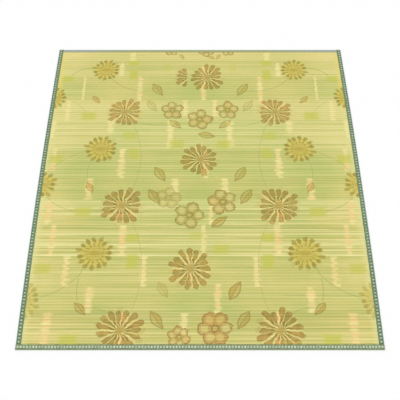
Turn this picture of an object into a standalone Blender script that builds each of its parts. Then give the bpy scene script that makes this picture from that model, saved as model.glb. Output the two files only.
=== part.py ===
"""A flat bamboo floor mat: one panel of long slats, bound on its four sides with folded cloth tape.

The mat lies on the floor. X runs along the slats, Y runs from the near edge to the far edge, and
Z is up. The origin is on the floor under the mat's centre. Lengths are in metres.
"""

import math

import bmesh
import bpy

# Driving dimensions of the mat
MAT_WIDTH = 1.80  # along the slats, at the near and far edges
MAT_LENGTH = 2.00  # across the slats, near edge to far edge
SIDE_BOW = 0.0095  # how far each side swells out beyond the corners at mid-length

# The slats, joined edge to edge into one panel
SLAT_PITCH = 0.016  # one slat and the groove beside it
SLAT_THICKNESS = 0.0020
GROOVE_WIDTH = 0.0012
GROOVE_DEPTH = 0.0007  # on each face, so that a web is left between the two grooves

# The tape, folded over each edge of the panel
TAPE_THICKNESS = 0.0010
NEAR_LEAF = 0.0275  # how much of the tape shows on top, along the near edge
SIDE_LEAF = 0.0255
FAR_LEAF = 0.020
UNDER_LEAF = 0.025  # how much of it is turned under, on every side
FOLD_RADIUS = 0.0015  # outer radius where the tape turns over the edge
LAP_RAMP = 0.010  # length over which a lapped tape comes down beside the tape below it
LAP_MARGIN = 0.001  # how far past that tape's edge the ramp starts

CLEARANCE = 0.0003  # gap left between neighbouring solids

# Sizes that follow from them
STUB = FOLD_RADIUS + 0.0002  # least width of the under leaf, where a corner mitre ends
SETBACK = STUB + CLEARANCE  # how far a lapped-over tape stops short of the corner
MITRE_GAP = CLEARANCE / math.sqrt(2.0)
LAP_LIFT = TAPE_THICKNESS + CLEARANCE
PANEL_BOTTOM = TAPE_THICKNESS + CLEARANCE
PANEL_TOP = PANEL_BOTTOM + SLAT_THICKNESS
TAPE_TOP = PANEL_TOP + CLEARANCE + TAPE_THICKNESS
PANEL_SETBACK = TAPE_THICKNESS + CLEARANCE

# How finely the curves are divided
ARC_STEPS = 3  # edges in each quarter turn of the fold
RAMP_STEPS = 4
BOW_STEPS = 20  # straight runs along a bowed side
SHARP_DEGREES = 40.0  # edges that turn more than this stay crisp

# Plain colours, as linear red, green and blue
BAMBOO_COLOR = (0.58, 0.60, 0.24)
TAPE_COLOR = (0.13, 0.27, 0.17)


def clear_scene():
    """Remove every object that is already in the scene."""
    for thing in list(bpy.data.objects):
        bpy.data.objects.remove(thing, do_unlink=True)


def half_width(y):
    """Distance from the centre line to the mat's side edge at y, with the side's gentle bow."""
    along = 2.0 * y / MAT_LENGTH
    return MAT_WIDTH / 2 + SIDE_BOW * (1.0 - along * along)


def make_material(name, color, roughness):
    """A plain surface of the given colour."""
    material = bpy.data.materials.new(name)
    material.use_nodes = True
    shader = material.node_tree.nodes["Principled BSDF"]
    shader.inputs["Base Color"].default_value = (*color, 1.0)
    shader.inputs["Roughness"].default_value = roughness
    shader.inputs["Metallic"].default_value = 0.0
    return material


def make_object(name, rings, caps, material):
    """Join rings of points with faces, close both ends with the given faces, and add the object."""
    build = bmesh.new()
    rows = [[build.verts.new(point) for point in ring] for ring in rings]
    count = len(rows[0])
    for row, following in zip(rows, rows[1:]):
        for i in range(count):
            j = (i + 1) % count
            build.faces.new((row[i], row[j], following[j], following[i]))
    for cap in caps:
        build.faces.new([rows[0][i] for i in cap])
        build.faces.new([rows[-1][i] for i in cap])
    bmesh.ops.recalc_face_normals(build, faces=build.faces)
    mesh = bpy.data.meshes.new(name)
    build.to_mesh(mesh)
    build.free()
    mesh.materials.append(material)
    thing = bpy.data.objects.new(name, mesh)
    bpy.context.scene.collection.objects.link(thing)
    return thing


def slat_profile():
    """Points (y, depth) along one face of the panel, where depth is how far a groove cuts in."""
    panel_length = MAT_LENGTH - 2 * PANEL_SETBACK
    slat_count = round(panel_length / SLAT_PITCH)
    pitch = panel_length / slat_count
    start = -panel_length / 2
    points = []
    for i in range(slat_count):
        near = start + i * pitch
        far = near + pitch
        if i > 0:
            points.append((near, GROOVE_DEPTH))
            near += GROOVE_WIDTH / 2
        if i < slat_count - 1:
            far -= GROOVE_WIDTH / 2
        points.append((near, 0.0))
        points.append((far, 0.0))
    return points


def make_panel(material):
    """The slats side by side, as one ribbed board with a V groove between each pair of slats."""
    profile = slat_profile()
    top = [(y, PANEL_TOP - depth) for y, depth in profile]
    bottom = [(y, PANEL_BOTTOM + depth) for y, depth in profile]
    section = top + bottom[::-1]
    rings = []
    for side in (-1, 1):
        rings.append([(side * (half_width(y) - PANEL_SETBACK), y, z) for y, z in section])
    last = len(section) - 1
    caps = [(i, i + 1, last - i - 1, last - i) for i in range(len(profile) - 1)]
    return make_object("slat_panel", rings, caps, material)


def arc_points(center, start_degrees):
    """Points of a quarter turn of the fold, counter-clockwise from the given direction."""
    points = []
    for i in range(ARC_STEPS + 1):
        angle = math.radians(start_degrees + 90.0 * i / ARC_STEPS)
        offset = (FOLD_RADIUS * math.cos(angle), FOLD_RADIUS * math.sin(angle))
        points.append((center[0] + offset[0], center[1] + offset[1]))
    return points


def tape_section(top_leaf, under_leaf, lift):
    """Section of the folded tape as points (distance in from the mat's edge, height)."""
    top = TAPE_TOP + lift
    points = [(top_leaf, top - TAPE_THICKNESS), (top_leaf, top)]
    points += arc_points((FOLD_RADIUS, top - FOLD_RADIUS), 90.0)
    points += arc_points((FOLD_RADIUS, FOLD_RADIUS), 180.0)
    points += [(under_leaf, 0.0), (under_leaf, TAPE_THICKNESS)]
    points += [(TAPE_THICKNESS, TAPE_THICKNESS), (TAPE_THICKNESS, top - TAPE_THICKNESS)]
    return points


def end_stations(lapped_leaf):
    """Stations (distance from the corner, under leaf, lift) from one end of a tape inwards.

    Under the mat the tapes meet in a mitre. On top, a tape laps over the end of its neighbour,
    whose top leaf is lapped_leaf wide, or passes under it if lapped_leaf is None.
    """
    laps_over = lapped_leaf is not None
    start = 0.0 if laps_over else SETBACK
    lift = LAP_LIFT if laps_over else 0.0
    stations = [(start, max(STUB, start - MITRE_GAP), lift)]
    if laps_over:
        stations.append((STUB + MITRE_GAP, STUB, lift))
    stations.append((UNDER_LEAF + MITRE_GAP, UNDER_LEAF, lift))
    if laps_over:
        ramp_start = max(lapped_leaf, UNDER_LEAF) + LAP_MARGIN
        for i in range(RAMP_STEPS + 1):
            share = i / RAMP_STEPS
            fall = share * share * (3.0 - 2.0 * share)
            distance = ramp_start + share * LAP_RAMP
            stations.append((distance, UNDER_LEAF, lift * (1.0 - fall)))
    return stations


def tape_stations(run, first_lapped, last_lapped):
    """Stations (place along the tape, under leaf, lift) for a whole tape between two corners."""
    first = [(-run / 2 + d, leaf, lift) for d, leaf, lift in end_stations(first_lapped)]
    last = [(run / 2 - d, leaf, lift) for d, leaf, lift in end_stations(last_lapped)]
    middle = []
    step = (last[-1][0] - first[-1][0]) / BOW_STEPS
    for i in range(1, BOW_STEPS):
        middle.append((first[-1][0] + i * step, UNDER_LEAF, 0.0))
    return first + middle + last[::-1]


def make_side_tape(name, side, material):
    """Tape along a bowed side: it passes under the near tape and over the far tape."""
    rings = []
    for y, under_leaf, lift in tape_stations(MAT_LENGTH, None, FAR_LEAF):
        edge = half_width(y)
        section = tape_section(SIDE_LEAF, under_leaf, lift)
        rings.append([(side * (edge - inward), y, z) for inward, z in section])
    return finish_tape(name, rings, material)


def make_end_tape(name, end, top_leaf, lapped_leaf, material):
    """Tape along the near or far edge, whose two ends lap over or pass under the side tapes."""
    rings = []
    for x, under_leaf, lift in tape_stations(MAT_WIDTH, lapped_leaf, lapped_leaf):
        section = tape_section(top_leaf, under_leaf, lift)
        rings.append([(x, end * (MAT_LENGTH / 2 - inward), z) for inward, z in section])
    return finish_tape(name, rings, material)


def finish_tape(name, rings, material):
    """Close a tape's two ends and shade its fold smooth."""
    thing = make_object(name, rings, [range(len(rings[0]))], material)
    thing.data.shade_smooth()
    thing.data.set_sharp_from_angle(angle=math.radians(SHARP_DEGREES))
    return thing


def main():
    clear_scene()
    bamboo = make_material("bamboo_slats", BAMBOO_COLOR, roughness=0.45)
    tape = make_material("green_tape", TAPE_COLOR, roughness=0.85)
    make_panel(bamboo)
    make_side_tape("binding_left", -1, tape)
    make_side_tape("binding_right", 1, tape)
    make_end_tape("binding_near", -1, NEAR_LEAF, SIDE_LEAF, tape)
    make_end_tape("binding_far", 1, FAR_LEAF, None, tape)


main()
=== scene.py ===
# %% [markdown]
# # A printed bamboo floor mat
#
# The mat is a panel of long bamboo slats, dyed green and straw, printed with flowers and bound
# with woven green tape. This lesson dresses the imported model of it, one piece at a time.
# Lengths are in metres: X runs along the slats, Y from the near edge to the far edge, Z is up.

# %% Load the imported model
import math
from collections import namedtuple

import bpy
import numpy as np
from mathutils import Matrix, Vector


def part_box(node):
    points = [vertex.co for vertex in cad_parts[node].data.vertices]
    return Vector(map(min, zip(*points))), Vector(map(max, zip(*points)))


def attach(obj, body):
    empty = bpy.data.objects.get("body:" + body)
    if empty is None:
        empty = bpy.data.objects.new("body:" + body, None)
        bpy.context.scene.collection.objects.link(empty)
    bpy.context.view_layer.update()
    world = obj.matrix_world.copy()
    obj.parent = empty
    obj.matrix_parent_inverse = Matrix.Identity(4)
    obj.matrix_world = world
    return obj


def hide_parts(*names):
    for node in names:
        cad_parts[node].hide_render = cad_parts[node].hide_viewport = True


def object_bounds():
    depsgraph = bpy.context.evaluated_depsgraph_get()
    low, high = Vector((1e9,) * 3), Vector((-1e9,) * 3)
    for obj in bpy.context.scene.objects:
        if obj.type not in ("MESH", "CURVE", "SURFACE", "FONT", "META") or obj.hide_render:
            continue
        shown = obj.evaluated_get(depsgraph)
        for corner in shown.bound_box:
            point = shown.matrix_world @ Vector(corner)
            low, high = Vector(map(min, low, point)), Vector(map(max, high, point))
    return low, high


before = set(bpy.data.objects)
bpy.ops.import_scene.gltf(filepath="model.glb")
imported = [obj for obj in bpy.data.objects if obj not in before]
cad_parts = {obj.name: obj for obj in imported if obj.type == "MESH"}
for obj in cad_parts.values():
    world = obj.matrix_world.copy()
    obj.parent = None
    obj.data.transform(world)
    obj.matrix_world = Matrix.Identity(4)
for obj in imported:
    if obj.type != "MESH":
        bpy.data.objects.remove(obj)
cad_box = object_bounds()
panel_low, panel_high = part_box("slat_panel")
print("The packed nodes are", ", ".join(sorted(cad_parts)))

# %% [markdown]
# ## Two small helpers
#
# Colours are written as the hex values that a paint chart gives, which are sRGB. Blender's
# sockets want linear light, so one function turns them. A second function adds a node: it sets
# the node's own settings, then fills its usable inputs in order, with a number, a colour, a
# socket or another node, whose first usable output it takes.

# %% Colours and nodes
def hex_color(text):
    """An sRGB hex colour as linear red, green, blue and alpha."""
    levels = [int(text[i:i + 2], 16) / 255 for i in (1, 3, 5)]
    linear = [c / 12.92 if c <= 0.04045 else ((c + 0.055) / 1.055) ** 2.4 for c in levels]
    return (*linear, 1.0)


def add(tree, kind, inputs=(), **settings):
    """Add a node with its settings and its inputs, which may be sockets, nodes or plain values."""
    node = tree.nodes.new(kind)
    node.location = (200 * (len(tree.nodes) % 12), -240 * (len(tree.nodes) // 12))
    for name, value in settings.items():
        setattr(node, name, value)
    usable = [socket for socket in node.inputs if socket.enabled]
    named = inputs.items() if isinstance(inputs, dict) else zip(usable, inputs)
    for key, value in named:
        socket = node.inputs[key] if isinstance(key, str) else key
        if isinstance(value, bpy.types.Node):
            value = next(output for output in value.outputs if output.enabled)
        if isinstance(value, bpy.types.NodeSocket):
            tree.links.new(value, socket)
        elif value is not None:
            socket.default_value = value
    return node


print("Straw is", [round(level, 3) for level in hex_color("#DCD08A")], "in linear light")

# %% [markdown]
# ## Camera, floor and light
#
# The mat is looked down on from above its near edge, with a long lens, so its far edge comes out
# a little shorter than its near one. A pale floor and a white sky give an even studio light, and
# a wide sun lays a faint shadow under the edges. The Standard view transform keeps the dyes at
# the values that they are given.

# %% Camera
CAMERA_PLACE = Vector((0.0, -2.163, 3.2185))
CAMERA_TARGET = Vector((0.0, -0.1357, 0.0))
LENS_MM = 61.8

camera_data = bpy.data.cameras.new("camera")
camera_data.lens = LENS_MM
camera_data.sensor_width = 36.0
camera = bpy.data.objects.new("camera", camera_data)
camera.location = CAMERA_PLACE
camera.rotation_euler = (CAMERA_TARGET - CAMERA_PLACE).to_track_quat("-Z", "Y").to_euler()
bpy.context.scene.collection.objects.link(camera)
bpy.context.scene.camera = camera
bpy.context.scene.view_settings.view_transform = "Standard"
print("The camera is", round((CAMERA_TARGET - CAMERA_PLACE).length, 2), "m from its target")

# %% Floor and lights
FLOOR_HALF = 30.0
FLOOR_DEPTH = 0.0002  # how far the floor lies below the mat, so that no two faces coincide
FLOOR_COLOR = "#FAFAFA"
SKY_STRENGTH = 0.62
SUN_STRENGTH = 1.55
SUN_SPREAD = 50.0  # degrees, so that its shadow has a soft edge
SUN_TURN = (28.0, -14.0, 0.0)  # degrees away from straight down

floor_mesh = bpy.data.meshes.new("floor")
corners = [(-FLOOR_HALF, -FLOOR_HALF), (FLOOR_HALF, -FLOOR_HALF)]
corners += [(FLOOR_HALF, FLOOR_HALF), (-FLOOR_HALF, FLOOR_HALF)]
floor_mesh.from_pydata([(x, y, -FLOOR_DEPTH) for x, y in corners], [], [(0, 1, 2, 3)])
floor = bpy.data.objects.new("floor", floor_mesh)
bpy.context.scene.collection.objects.link(floor)
floor_paint = bpy.data.materials.new("matt_white_floor_paint")
floor_paint.use_nodes = True
floor_shader = floor_paint.node_tree.nodes["Principled BSDF"]
floor_shader.inputs["Base Color"].default_value = hex_color(FLOOR_COLOR)
floor_shader.inputs["Roughness"].default_value = 0.9
floor_shader.inputs["Specular IOR Level"].default_value = 0.1
floor_mesh.materials.append(floor_paint)

sun_data = bpy.data.lights.new("soft_sun", "SUN")
sun_data.energy = SUN_STRENGTH
sun_data.angle = math.radians(SUN_SPREAD)
sun = bpy.data.objects.new("soft_sun", sun_data)
sun.rotation_euler = [math.radians(turn) for turn in SUN_TURN]
bpy.context.scene.collection.objects.link(sun)

world = bpy.data.worlds.new("white_sky")
world.use_nodes = True
world.node_tree.nodes["Background"].inputs["Color"].default_value = (1.0, 1.0, 1.0, 1.0)
world.node_tree.nodes["Background"].inputs["Strength"].default_value = SKY_STRENGTH
bpy.context.scene.world = world
print("The floor is", 2 * FLOOR_HALF, "m wide")

# %% [markdown]
# ## The slats
#
# Each slat is a strip split from a bamboo cane, planed flat, with its edges just broken, and laid
# beside its neighbour. An array could copy one slat, but the sides of this mat swell gently, and
# real slats sit a hair up or down and lean a little. Geometry Nodes do all of that: a line of
# points, one slat on each, stretched to the mat's width at that place. The slats come from a
# dozen canes, so they are made in a dozen bands, which also keeps each piece light.

# %% Sizes of the slats, from the frame
SLAT_PITCH_ABOUT = 0.016
SLAT_GAP = 0.00008
EDGE_CHAMFER = 0.00024
ALONG_STEPS = 90  # cuts along a slat, 20 mm apart, so that the print can be laid on in cells
SIDE_BOW = 0.0095  # how far the sides swell out at mid-length

panel_length = panel_high.y - panel_low.y
slat_count = round(panel_length / SLAT_PITCH_ABOUT)
slat_pitch = panel_length / slat_count
slat_thickness = panel_high.z - panel_low.z
panel_half_at_ends = panel_high.x - SIDE_BOW
mat_half_length = cad_box[1][1]


print(f"{slat_count} slats, {slat_pitch * 1000:.2f} mm apart, {slat_thickness * 1000:.1f} mm thick")

# %% [markdown]
# ## The canes
#
# The strips of one cane keep their order, so a band of neighbouring slats shares its dye and the
# places of its growth rings. Each row below is one cane: where its band ends towards the far
# edge, how green the dye took (0 is straw, 1 is leaf green), how light it is, and how much its
# slats differ from each other.

# %% Table of the canes
Cane = namedtuple("Cane", "far_y green light streak")
CANES = [
    Cane(-0.81, 0.24, 0.12, 1.1),
    Cane(-0.66, 0.50, 0.20, 0.6),
    Cane(-0.48, 0.45, 0.40, 0.7),
    Cane(-0.30, 0.45, 0.48, 1.3),
    Cane(-0.14, 0.42, 0.50, 1.0),
    Cane(0.00, 0.48, 0.32, 0.4),
    Cane(0.21, 0.72, 0.36, 0.55),
    Cane(0.43, 0.62, 0.62, 0.5),
    Cane(0.59, 0.45, 0.70, 0.25),
    Cane(0.77, 0.58, 0.40, 0.35),
    Cane(0.90, 0.40, 0.48, 0.35),
    Cane(1.00, 0.10, 0.58, 0.15),
]

band_starts = [0] + [round((cane.far_y - panel_low.y) / slat_pitch) for cane in CANES[:-1]]
band_ends = band_starts[1:] + [slat_count]
print("Slats in each band:", [end - start for start, end in zip(band_starts, band_ends)])

# %% [markdown]
# ## The tree that lays slats
#
# The tree is built in the script and read from left to right: points along Y, a slat swept from
# a rounded section, one slat on each point, a random lean and height, and a random tone that is
# stored for the dye. Realize Instances makes it real geometry, and Set Material ends it.

# %% Build the slat tree
def new_tree(name, sizes):
    """An empty Geometry Nodes tree with a geometry input, named inputs and a geometry output."""
    tree = bpy.data.node_groups.new(name, "GeometryNodeTree")
    tree.interface.new_socket("Geometry", in_out="INPUT", socket_type="NodeSocketGeometry")
    for label, kind in sizes:
        tree.interface.new_socket(label, in_out="INPUT", socket_type=f"NodeSocket{kind}")
    tree.interface.new_socket("Geometry", in_out="OUTPUT", socket_type="NodeSocketGeometry")
    return tree, tree.nodes.new("NodeGroupInput").outputs


def build_slat_tree():
    """Slats side by side from a first place, each as long as the bowed mat is wide there."""
    tree, size = new_tree("lay_slats", [
        ("Slat count", "Int"), ("First Y", "Float"), ("Pitch", "Float"), ("Width", "Float"),
        ("Thickness", "Float"), ("Middle height", "Float"), ("Chamfer", "Float"),
        ("Half length at ends", "Float"), ("Bow", "Float"), ("Mat half length", "Float"),
        ("Cuts along", "Int"), ("Lean", "Float"), ("Drop", "Float"), ("Seed", "Int"),
        ("Finish", "Material")])
    start = add(tree, "ShaderNodeCombineXYZ", [0.0, size["First Y"], size["Middle height"]])
    step = add(tree, "ShaderNodeCombineXYZ", [0.0, size["Pitch"], 0.0])
    points = add(tree, "GeometryNodeMeshLine", [size["Slat count"], start, step])

    section = add(tree, "GeometryNodeCurvePrimitiveQuadrilateral",
                  [size["Width"], size["Thickness"]])
    rounded = add(tree, "GeometryNodeFilletCurve",
                  {"Curve": section, "Count": 1, "Radius": size["Chamfer"]}, mode="POLY")
    line = add(tree, "GeometryNodeCurvePrimitiveLine", [(-1.0, 0.0, 0.0), (1.0, 0.0, 0.0)])
    cut_count = add(tree, "ShaderNodeMath", [size["Cuts along"], 1.0], operation="ADD")
    cut_line = add(tree, "GeometryNodeResampleCurve", {"Curve": line, "Count": cut_count})
    slat = add(tree, "GeometryNodeCurveToMesh", {
        "Curve": cut_line, "Profile Curve": rounded, "Fill Caps": True})

    place = add(tree, "ShaderNodeSeparateXYZ", [add(tree, "GeometryNodeInputPosition")])
    share = add(tree, "ShaderNodeMath", [place.outputs["Y"], size["Mat half length"]],
                operation="DIVIDE")
    square = add(tree, "ShaderNodeMath", [share, share], operation="MULTIPLY")
    swell = add(tree, "ShaderNodeMath", [1.0, square], operation="SUBTRACT")
    half = add(tree, "ShaderNodeMath", [swell, size["Bow"], size["Half length at ends"]],
               operation="MULTIPLY_ADD")
    stretch = add(tree, "ShaderNodeCombineXYZ", [half, 1.0, 1.0])
    lean_down = add(tree, "ShaderNodeMath", [size["Lean"], -1.0], operation="MULTIPLY")
    lean = add(tree, "FunctionNodeRandomValue",
               {"Min": lean_down, "Max": size["Lean"], "Seed": size["Seed"]}, data_type="FLOAT")
    turn = add(tree, "ShaderNodeCombineXYZ", [lean.outputs[1], 0.0, 0.0])
    slats = add(tree, "GeometryNodeInstanceOnPoints", {
        "Points": points, "Instance": slat, "Scale": stretch, "Rotation": turn})

    drop = add(tree, "FunctionNodeRandomValue",
               {"Min": size["Drop"], "Max": 0.0, "Seed": size["Seed"]}, data_type="FLOAT")
    settle = add(tree, "ShaderNodeCombineXYZ", [0.0, 0.0, drop.outputs[1]])
    settled = add(tree, "GeometryNodeTranslateInstances",
                  {"Instances": slats, "Translation": settle, "Local Space": False})
    tone = add(tree, "FunctionNodeRandomValue", {"Seed": size["Seed"]}, data_type="FLOAT_VECTOR")
    toned = add(tree, "GeometryNodeStoreNamedAttribute",
                {"Geometry": settled, "Name": "slat_tone", "Value": tone.outputs[0]},
                data_type="FLOAT_VECTOR", domain="INSTANCE")
    real = add(tree, "GeometryNodeRealizeInstances", [toned])
    finished = add(tree, "GeometryNodeSetMaterial",
                   {"Geometry": real, "Material": size["Finish"]})
    add(tree, "NodeGroupOutput", [finished])
    return tree


slat_tree = build_slat_tree()
print("The slat tree has", len(slat_tree.nodes), "nodes")

# %% A modifier's result as a plain mesh
def grow(name, mesh, tree, sizes):
    """Run a tree on a mesh with sizes given by input name, and keep the result as a plain mesh."""
    seed_object = bpy.data.objects.new(name, mesh)
    bpy.context.scene.collection.objects.link(seed_object)
    modifier = seed_object.modifiers.new("grow", "NODES")
    modifier.node_group = tree
    for item in tree.interface.items_tree:
        if item.item_type == "SOCKET" and item.in_out == "INPUT" and item.name in sizes:
            modifier[item.identifier] = sizes[item.name]
    bpy.context.view_layer.update()
    graph = bpy.context.evaluated_depsgraph_get()
    result = bpy.data.meshes.new_from_object(seed_object.evaluated_get(graph),
                                             preserve_all_data_layers=True, depsgraph=graph)
    seed_object.modifiers.remove(modifier)
    seed_object.data = result
    result.name = name
    return seed_object


print("A tree's result is kept with new_from_object, so nothing stays live")

# %% [markdown]
# ## Where the print and the growth rings go
#
# Real slats are printed after they are joined, by a screen that lays flowers over many slats at
# once. Each kind of motif gets one vector attribute that holds, at every face corner, the place
# inside the nearest motif of that kind: 0, 0 is its middle and 1 is its rim. The material then
# only has to draw one flower. The tables below are a drawing plan. It keeps to the layout of the
# real print in rounded places, and each row gives a motif's place, its radius, the turn of its
# axis in degrees, and its tone and strength. A twin is the same motif on the other side of the
# centre line. The stems are this plan's own: each joins two motifs by a part of a circle.

# %% The drawing plan
Motif = namedtuple("Motif", "x y size turn tone strength twin left right",
                   defaults=(0.0, 0.0, 1.0, True, -1.0, 1.0))

GOLD_DAISIES = [
    Motif(-0.5875, 0.8275, 0.088),
    Motif(-0.575, 0.2125, 0.097),
    Motif(-0.555, -0.47, 0.102),
    Motif(-0.895, 0.60, 0.085, tone=0.5),
    Motif(-0.90, -0.035, 0.095, tone=0.7),
    Motif(-0.90, -0.74, 0.095, tone=0.9, strength=0.6),
]
OLIVE_DAISIES = [
    Motif(-0.45, 0.4875, 0.104, tone=0.6),
    Motif(-0.43, -0.175, 0.118, tone=0.6),
    Motif(-0.3975, -0.90, 0.118, tone=0.7),
    Motif(0.044, 0.764, 0.102, tone=0.4, twin=False),
    Motif(-0.062, 0.767, 0.092, tone=0.6, twin=False, right=-0.088),
    Motif(0.0, 0.1375, 0.108, tone=0.2, twin=False),
    Motif(-0.05, -0.56, 0.115, tone=0.5, twin=False),
]
BLOSSOMS = [
    Motif(-0.165, 0.502, 0.068, 20.0, 0.5),
    Motif(-0.003, 0.4325, 0.076, 75.0, 0.5, twin=False),
    Motif(0.125, -0.15, 0.083, 30.0, 0.6, twin=False),
    Motif(-0.06, -0.235, 0.083, 70.0, 0.1, twin=False),
    Motif(-0.175, -0.125, 0.070, 10.0, 0.2, strength=0.6, twin=False),
    Motif(0.0725, -0.89, 0.088, 0.0, 1.0, twin=False),
    Motif(-0.105, -0.935, 0.058, 40.0, 0.9, twin=False),
    Motif(-0.18, 0.995, 0.045, 15.0, 0.6),
    Motif(0.04, 0.99, 0.050, 50.0, 0.7, twin=False),
]
LEAVES = [
    Motif(-0.26, 0.665, 0.056, -56.0, 0.3),
    Motif(-0.29, 0.537, 0.050, -57.0, 0.1, strength=0.6),
    Motif(-0.6325, 0.585, 0.036, -50.0, 0.6),
    Motif(-0.1475, 0.395, 0.045, -40.0, 0.3),
    Motif(0.04, 0.313, 0.050, -12.0, 0.4, twin=False),
    Motif(-0.2275, 0.036, 0.056, -58.0, 0.3),
    Motif(-0.255, -0.115, 0.056, -56.0, 0.6),
    Motif(-0.6175, -0.055, 0.038, -60.0, 0.8),
    Motif(0.105, -0.277, 0.052, 38.0, 0.9, twin=False),
    Motif(0.18, -0.685, 0.058, 60.0, 0.8, twin=False),
    Motif(-0.19, -0.68, 0.050, -60.0, 0.3, strength=0.5, twin=False),
    Motif(-0.605, -0.785, 0.044, -48.0, 0.7),
    Motif(-0.2175, -0.845, 0.056, -56.0, 0.6),
    Motif(-0.115, 0.94, 0.024, -60.0, 0.5),
    Motif(0.07, 0.935, 0.026, -30.0, 0.5, twin=False),
]
WASHES = [
    Motif(-0.42, 0.885, 0.036, strength=0.8),
    Motif(-0.415, 0.787, 0.042, 90.0, strength=0.9),
    Motif(-0.2075, 0.85, 0.036, 90.0, strength=0.4),
    Motif(-0.82, 0.753, 0.036, strength=0.9),
    Motif(-0.67, 0.457, 0.046, strength=0.8),
    Motif(-0.41, 0.31, 0.046, strength=0.7),
    Motif(-0.14, 0.247, 0.045, strength=0.8),
    Motif(-0.385, 0.18, 0.040, 90.0, strength=0.8),
    Motif(-0.83, 0.14, 0.045, strength=0.8),
    Motif(-0.645, -0.215, 0.048, strength=0.8),
    Motif(-0.365, -0.375, 0.038, strength=0.9),
    Motif(-0.358, -0.52, 0.046, 90.0, strength=0.9),
    Motif(-0.02, -0.365, 0.040, strength=0.5, twin=False),
    Motif(0.11, -0.445, 0.042, strength=0.8, twin=False),
    Motif(-0.825, -0.56, 0.046, strength=0.8),
    Motif(-0.652, -0.95, 0.046, strength=0.9),
]
print("Motifs in the plan:", sum(map(len, (GOLD_DAISIES, OLIVE_DAISIES, BLOSSOMS, LEAVES, WASHES))))

# %% Thin stems, as parts of circles
Stem = namedtuple("Stem", "x y radius from_turn to_turn strength")


def stem_between(start, end, bow, strength):
    """Part of a circle from one motif's rim to another's. It swells to the left by bow, which is
    a share of half its length, and to the right where bow is under 0."""
    half = Vector((end.x - start.x, end.y - start.y)) / 2
    to_left = Vector((-half.y, half.x))
    radius = half.length * (1 + bow * bow) / (2 * bow)
    centre = Vector((start.x, start.y)) + half + to_left * (bow - radius / half.length)
    first = math.atan2(start.y - centre.y, start.x - centre.x)
    last = math.atan2(end.y - centre.y, end.x - centre.x)
    sweep = (last - first + math.pi) % math.tau - math.pi
    under_start = math.copysign(start.size / radius, sweep)
    under_end = math.copysign(end.size / radius, sweep)
    return Stem(centre.x, centre.y, abs(radius), first + under_start,
                first + sweep - under_end, strength)


STEMS = [
    stem_between(GOLD_DAISIES[0], LEAVES[0], -0.4, 0.7),
    stem_between(WASHES[3], GOLD_DAISIES[0], 0.4, 0.7),
    stem_between(OLIVE_DAISIES[0], LEAVES[3], -0.3, 0.6),
    stem_between(OLIVE_DAISIES[1], OLIVE_DAISIES[0], -0.3, 0.4),
    stem_between(GOLD_DAISIES[4], GOLD_DAISIES[1], 0.3, 0.5),
    stem_between(GOLD_DAISIES[1], LEAVES[7], -0.3, 0.5),
    stem_between(OLIVE_DAISIES[1], OLIVE_DAISIES[2], 0.3, 0.4),
    stem_between(GOLD_DAISIES[5], GOLD_DAISIES[2], -0.3, 0.6),
    stem_between(GOLD_DAISIES[2], LEAVES[11], -0.3, 0.7),
    stem_between(LEAVES[11], OLIVE_DAISIES[2], 0.4, 0.6),
    stem_between(GOLD_DAISIES[4], WASHES[9], -0.3, 0.6),
    stem_between(GOLD_DAISIES[3], WASHES[4], 0.3, 0.4),
]
print(len(STEMS), "stems, each with its twin, of radius up to",
      round(max(stem.radius for stem in STEMS), 2), "m")

# %% Growth rings of each cane
Ring = namedtuple("Ring", "x near_y far_y width blush zigzag twin", defaults=(0.3, 0.3, True))

RINGS = [
    Ring(-0.715, 0.585, 0.77, 0.010),
    Ring(-0.37, 0.575, 0.775, 0.020, 0.6),
    Ring(0.022, 0.59, 0.86, 0.020, 0.9, 0.3, False),
    Ring(-0.795, 0.43, 0.58, 0.018),
    Ring(-0.09, 0.45, 0.58, 0.022),
    Ring(-0.53, 0.32, 0.43, 0.026, 0.2),
    Ring(-0.175, 0.21, 0.43, 0.026, 0.1, 0.6),
    Ring(-0.45, 0.0, 0.21, 0.022, 0.3, 1.0),
    Ring(-0.84, 0.05, 0.21, 0.018, 0.5),
    Ring(0.03, 0.0, 0.20, 0.018, 0.5, 0.6, False),
    Ring(-0.14, -0.09, 0.0, 0.026, 0.1),
    Ring(-0.62, -0.14, 0.0, 0.026, 0.8),
    Ring(-0.83, -0.30, -0.14, 0.022, 0.8),
    Ring(-0.44, -0.30, -0.14, 0.022, 1.0, 0.6),
    Ring(0.06, -0.30, -0.14, 0.016, 0.3, 0.8, False),
    Ring(-0.415, -0.48, -0.30, 0.026, 0.6, 0.8),
    Ring(-0.79, -0.48, -0.30, 0.020, 0.8),
    Ring(0.018, -0.47, -0.30, 0.016, 0.2, 0.8, False),
    Ring(-0.70, -0.66, -0.48, 0.022, 0.4, 1.0),
    Ring(-0.295, -0.66, -0.48, 0.022, 0.2),
    Ring(-0.05, -0.66, -0.48, 0.014, 0.4, 0.8, False),
    Ring(-0.565, -0.81, -0.66, 0.024, 0.4),
    Ring(0.09, -0.81, -0.65, 0.020, 0.5, 0.6, False),
    Ring(-0.765, -1.0, -0.81, 0.028, 0.9),
    Ring(-0.39, -1.0, -0.81, 0.020, 0.9, 0.6),
    Ring(-0.08, -0.93, -0.81, 0.022, 0.2, 0.4, False),
    Ring(-0.49, 0.77, 0.88, 0.020, 0.1),
    Ring(-0.425, 0.90, 1.0, 0.022, 0.2),
    Ring(-0.87, 0.30, 0.43, 0.016, 0.1),
]
print(len(RINGS), "growth rings in the table")

# %% [markdown]
# ## Writing places into the mesh
#
# Each face of a slat is given to the motif that covers it. The four corners of the face then get
# their own place in that motif, so that the drawing runs on smoothly inside the face and on into
# the next one. A face that no motif covers gets a place far outside the rim. The screen never
# lands quite true on a slat, so every slat shifts the drawing a little.

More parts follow.
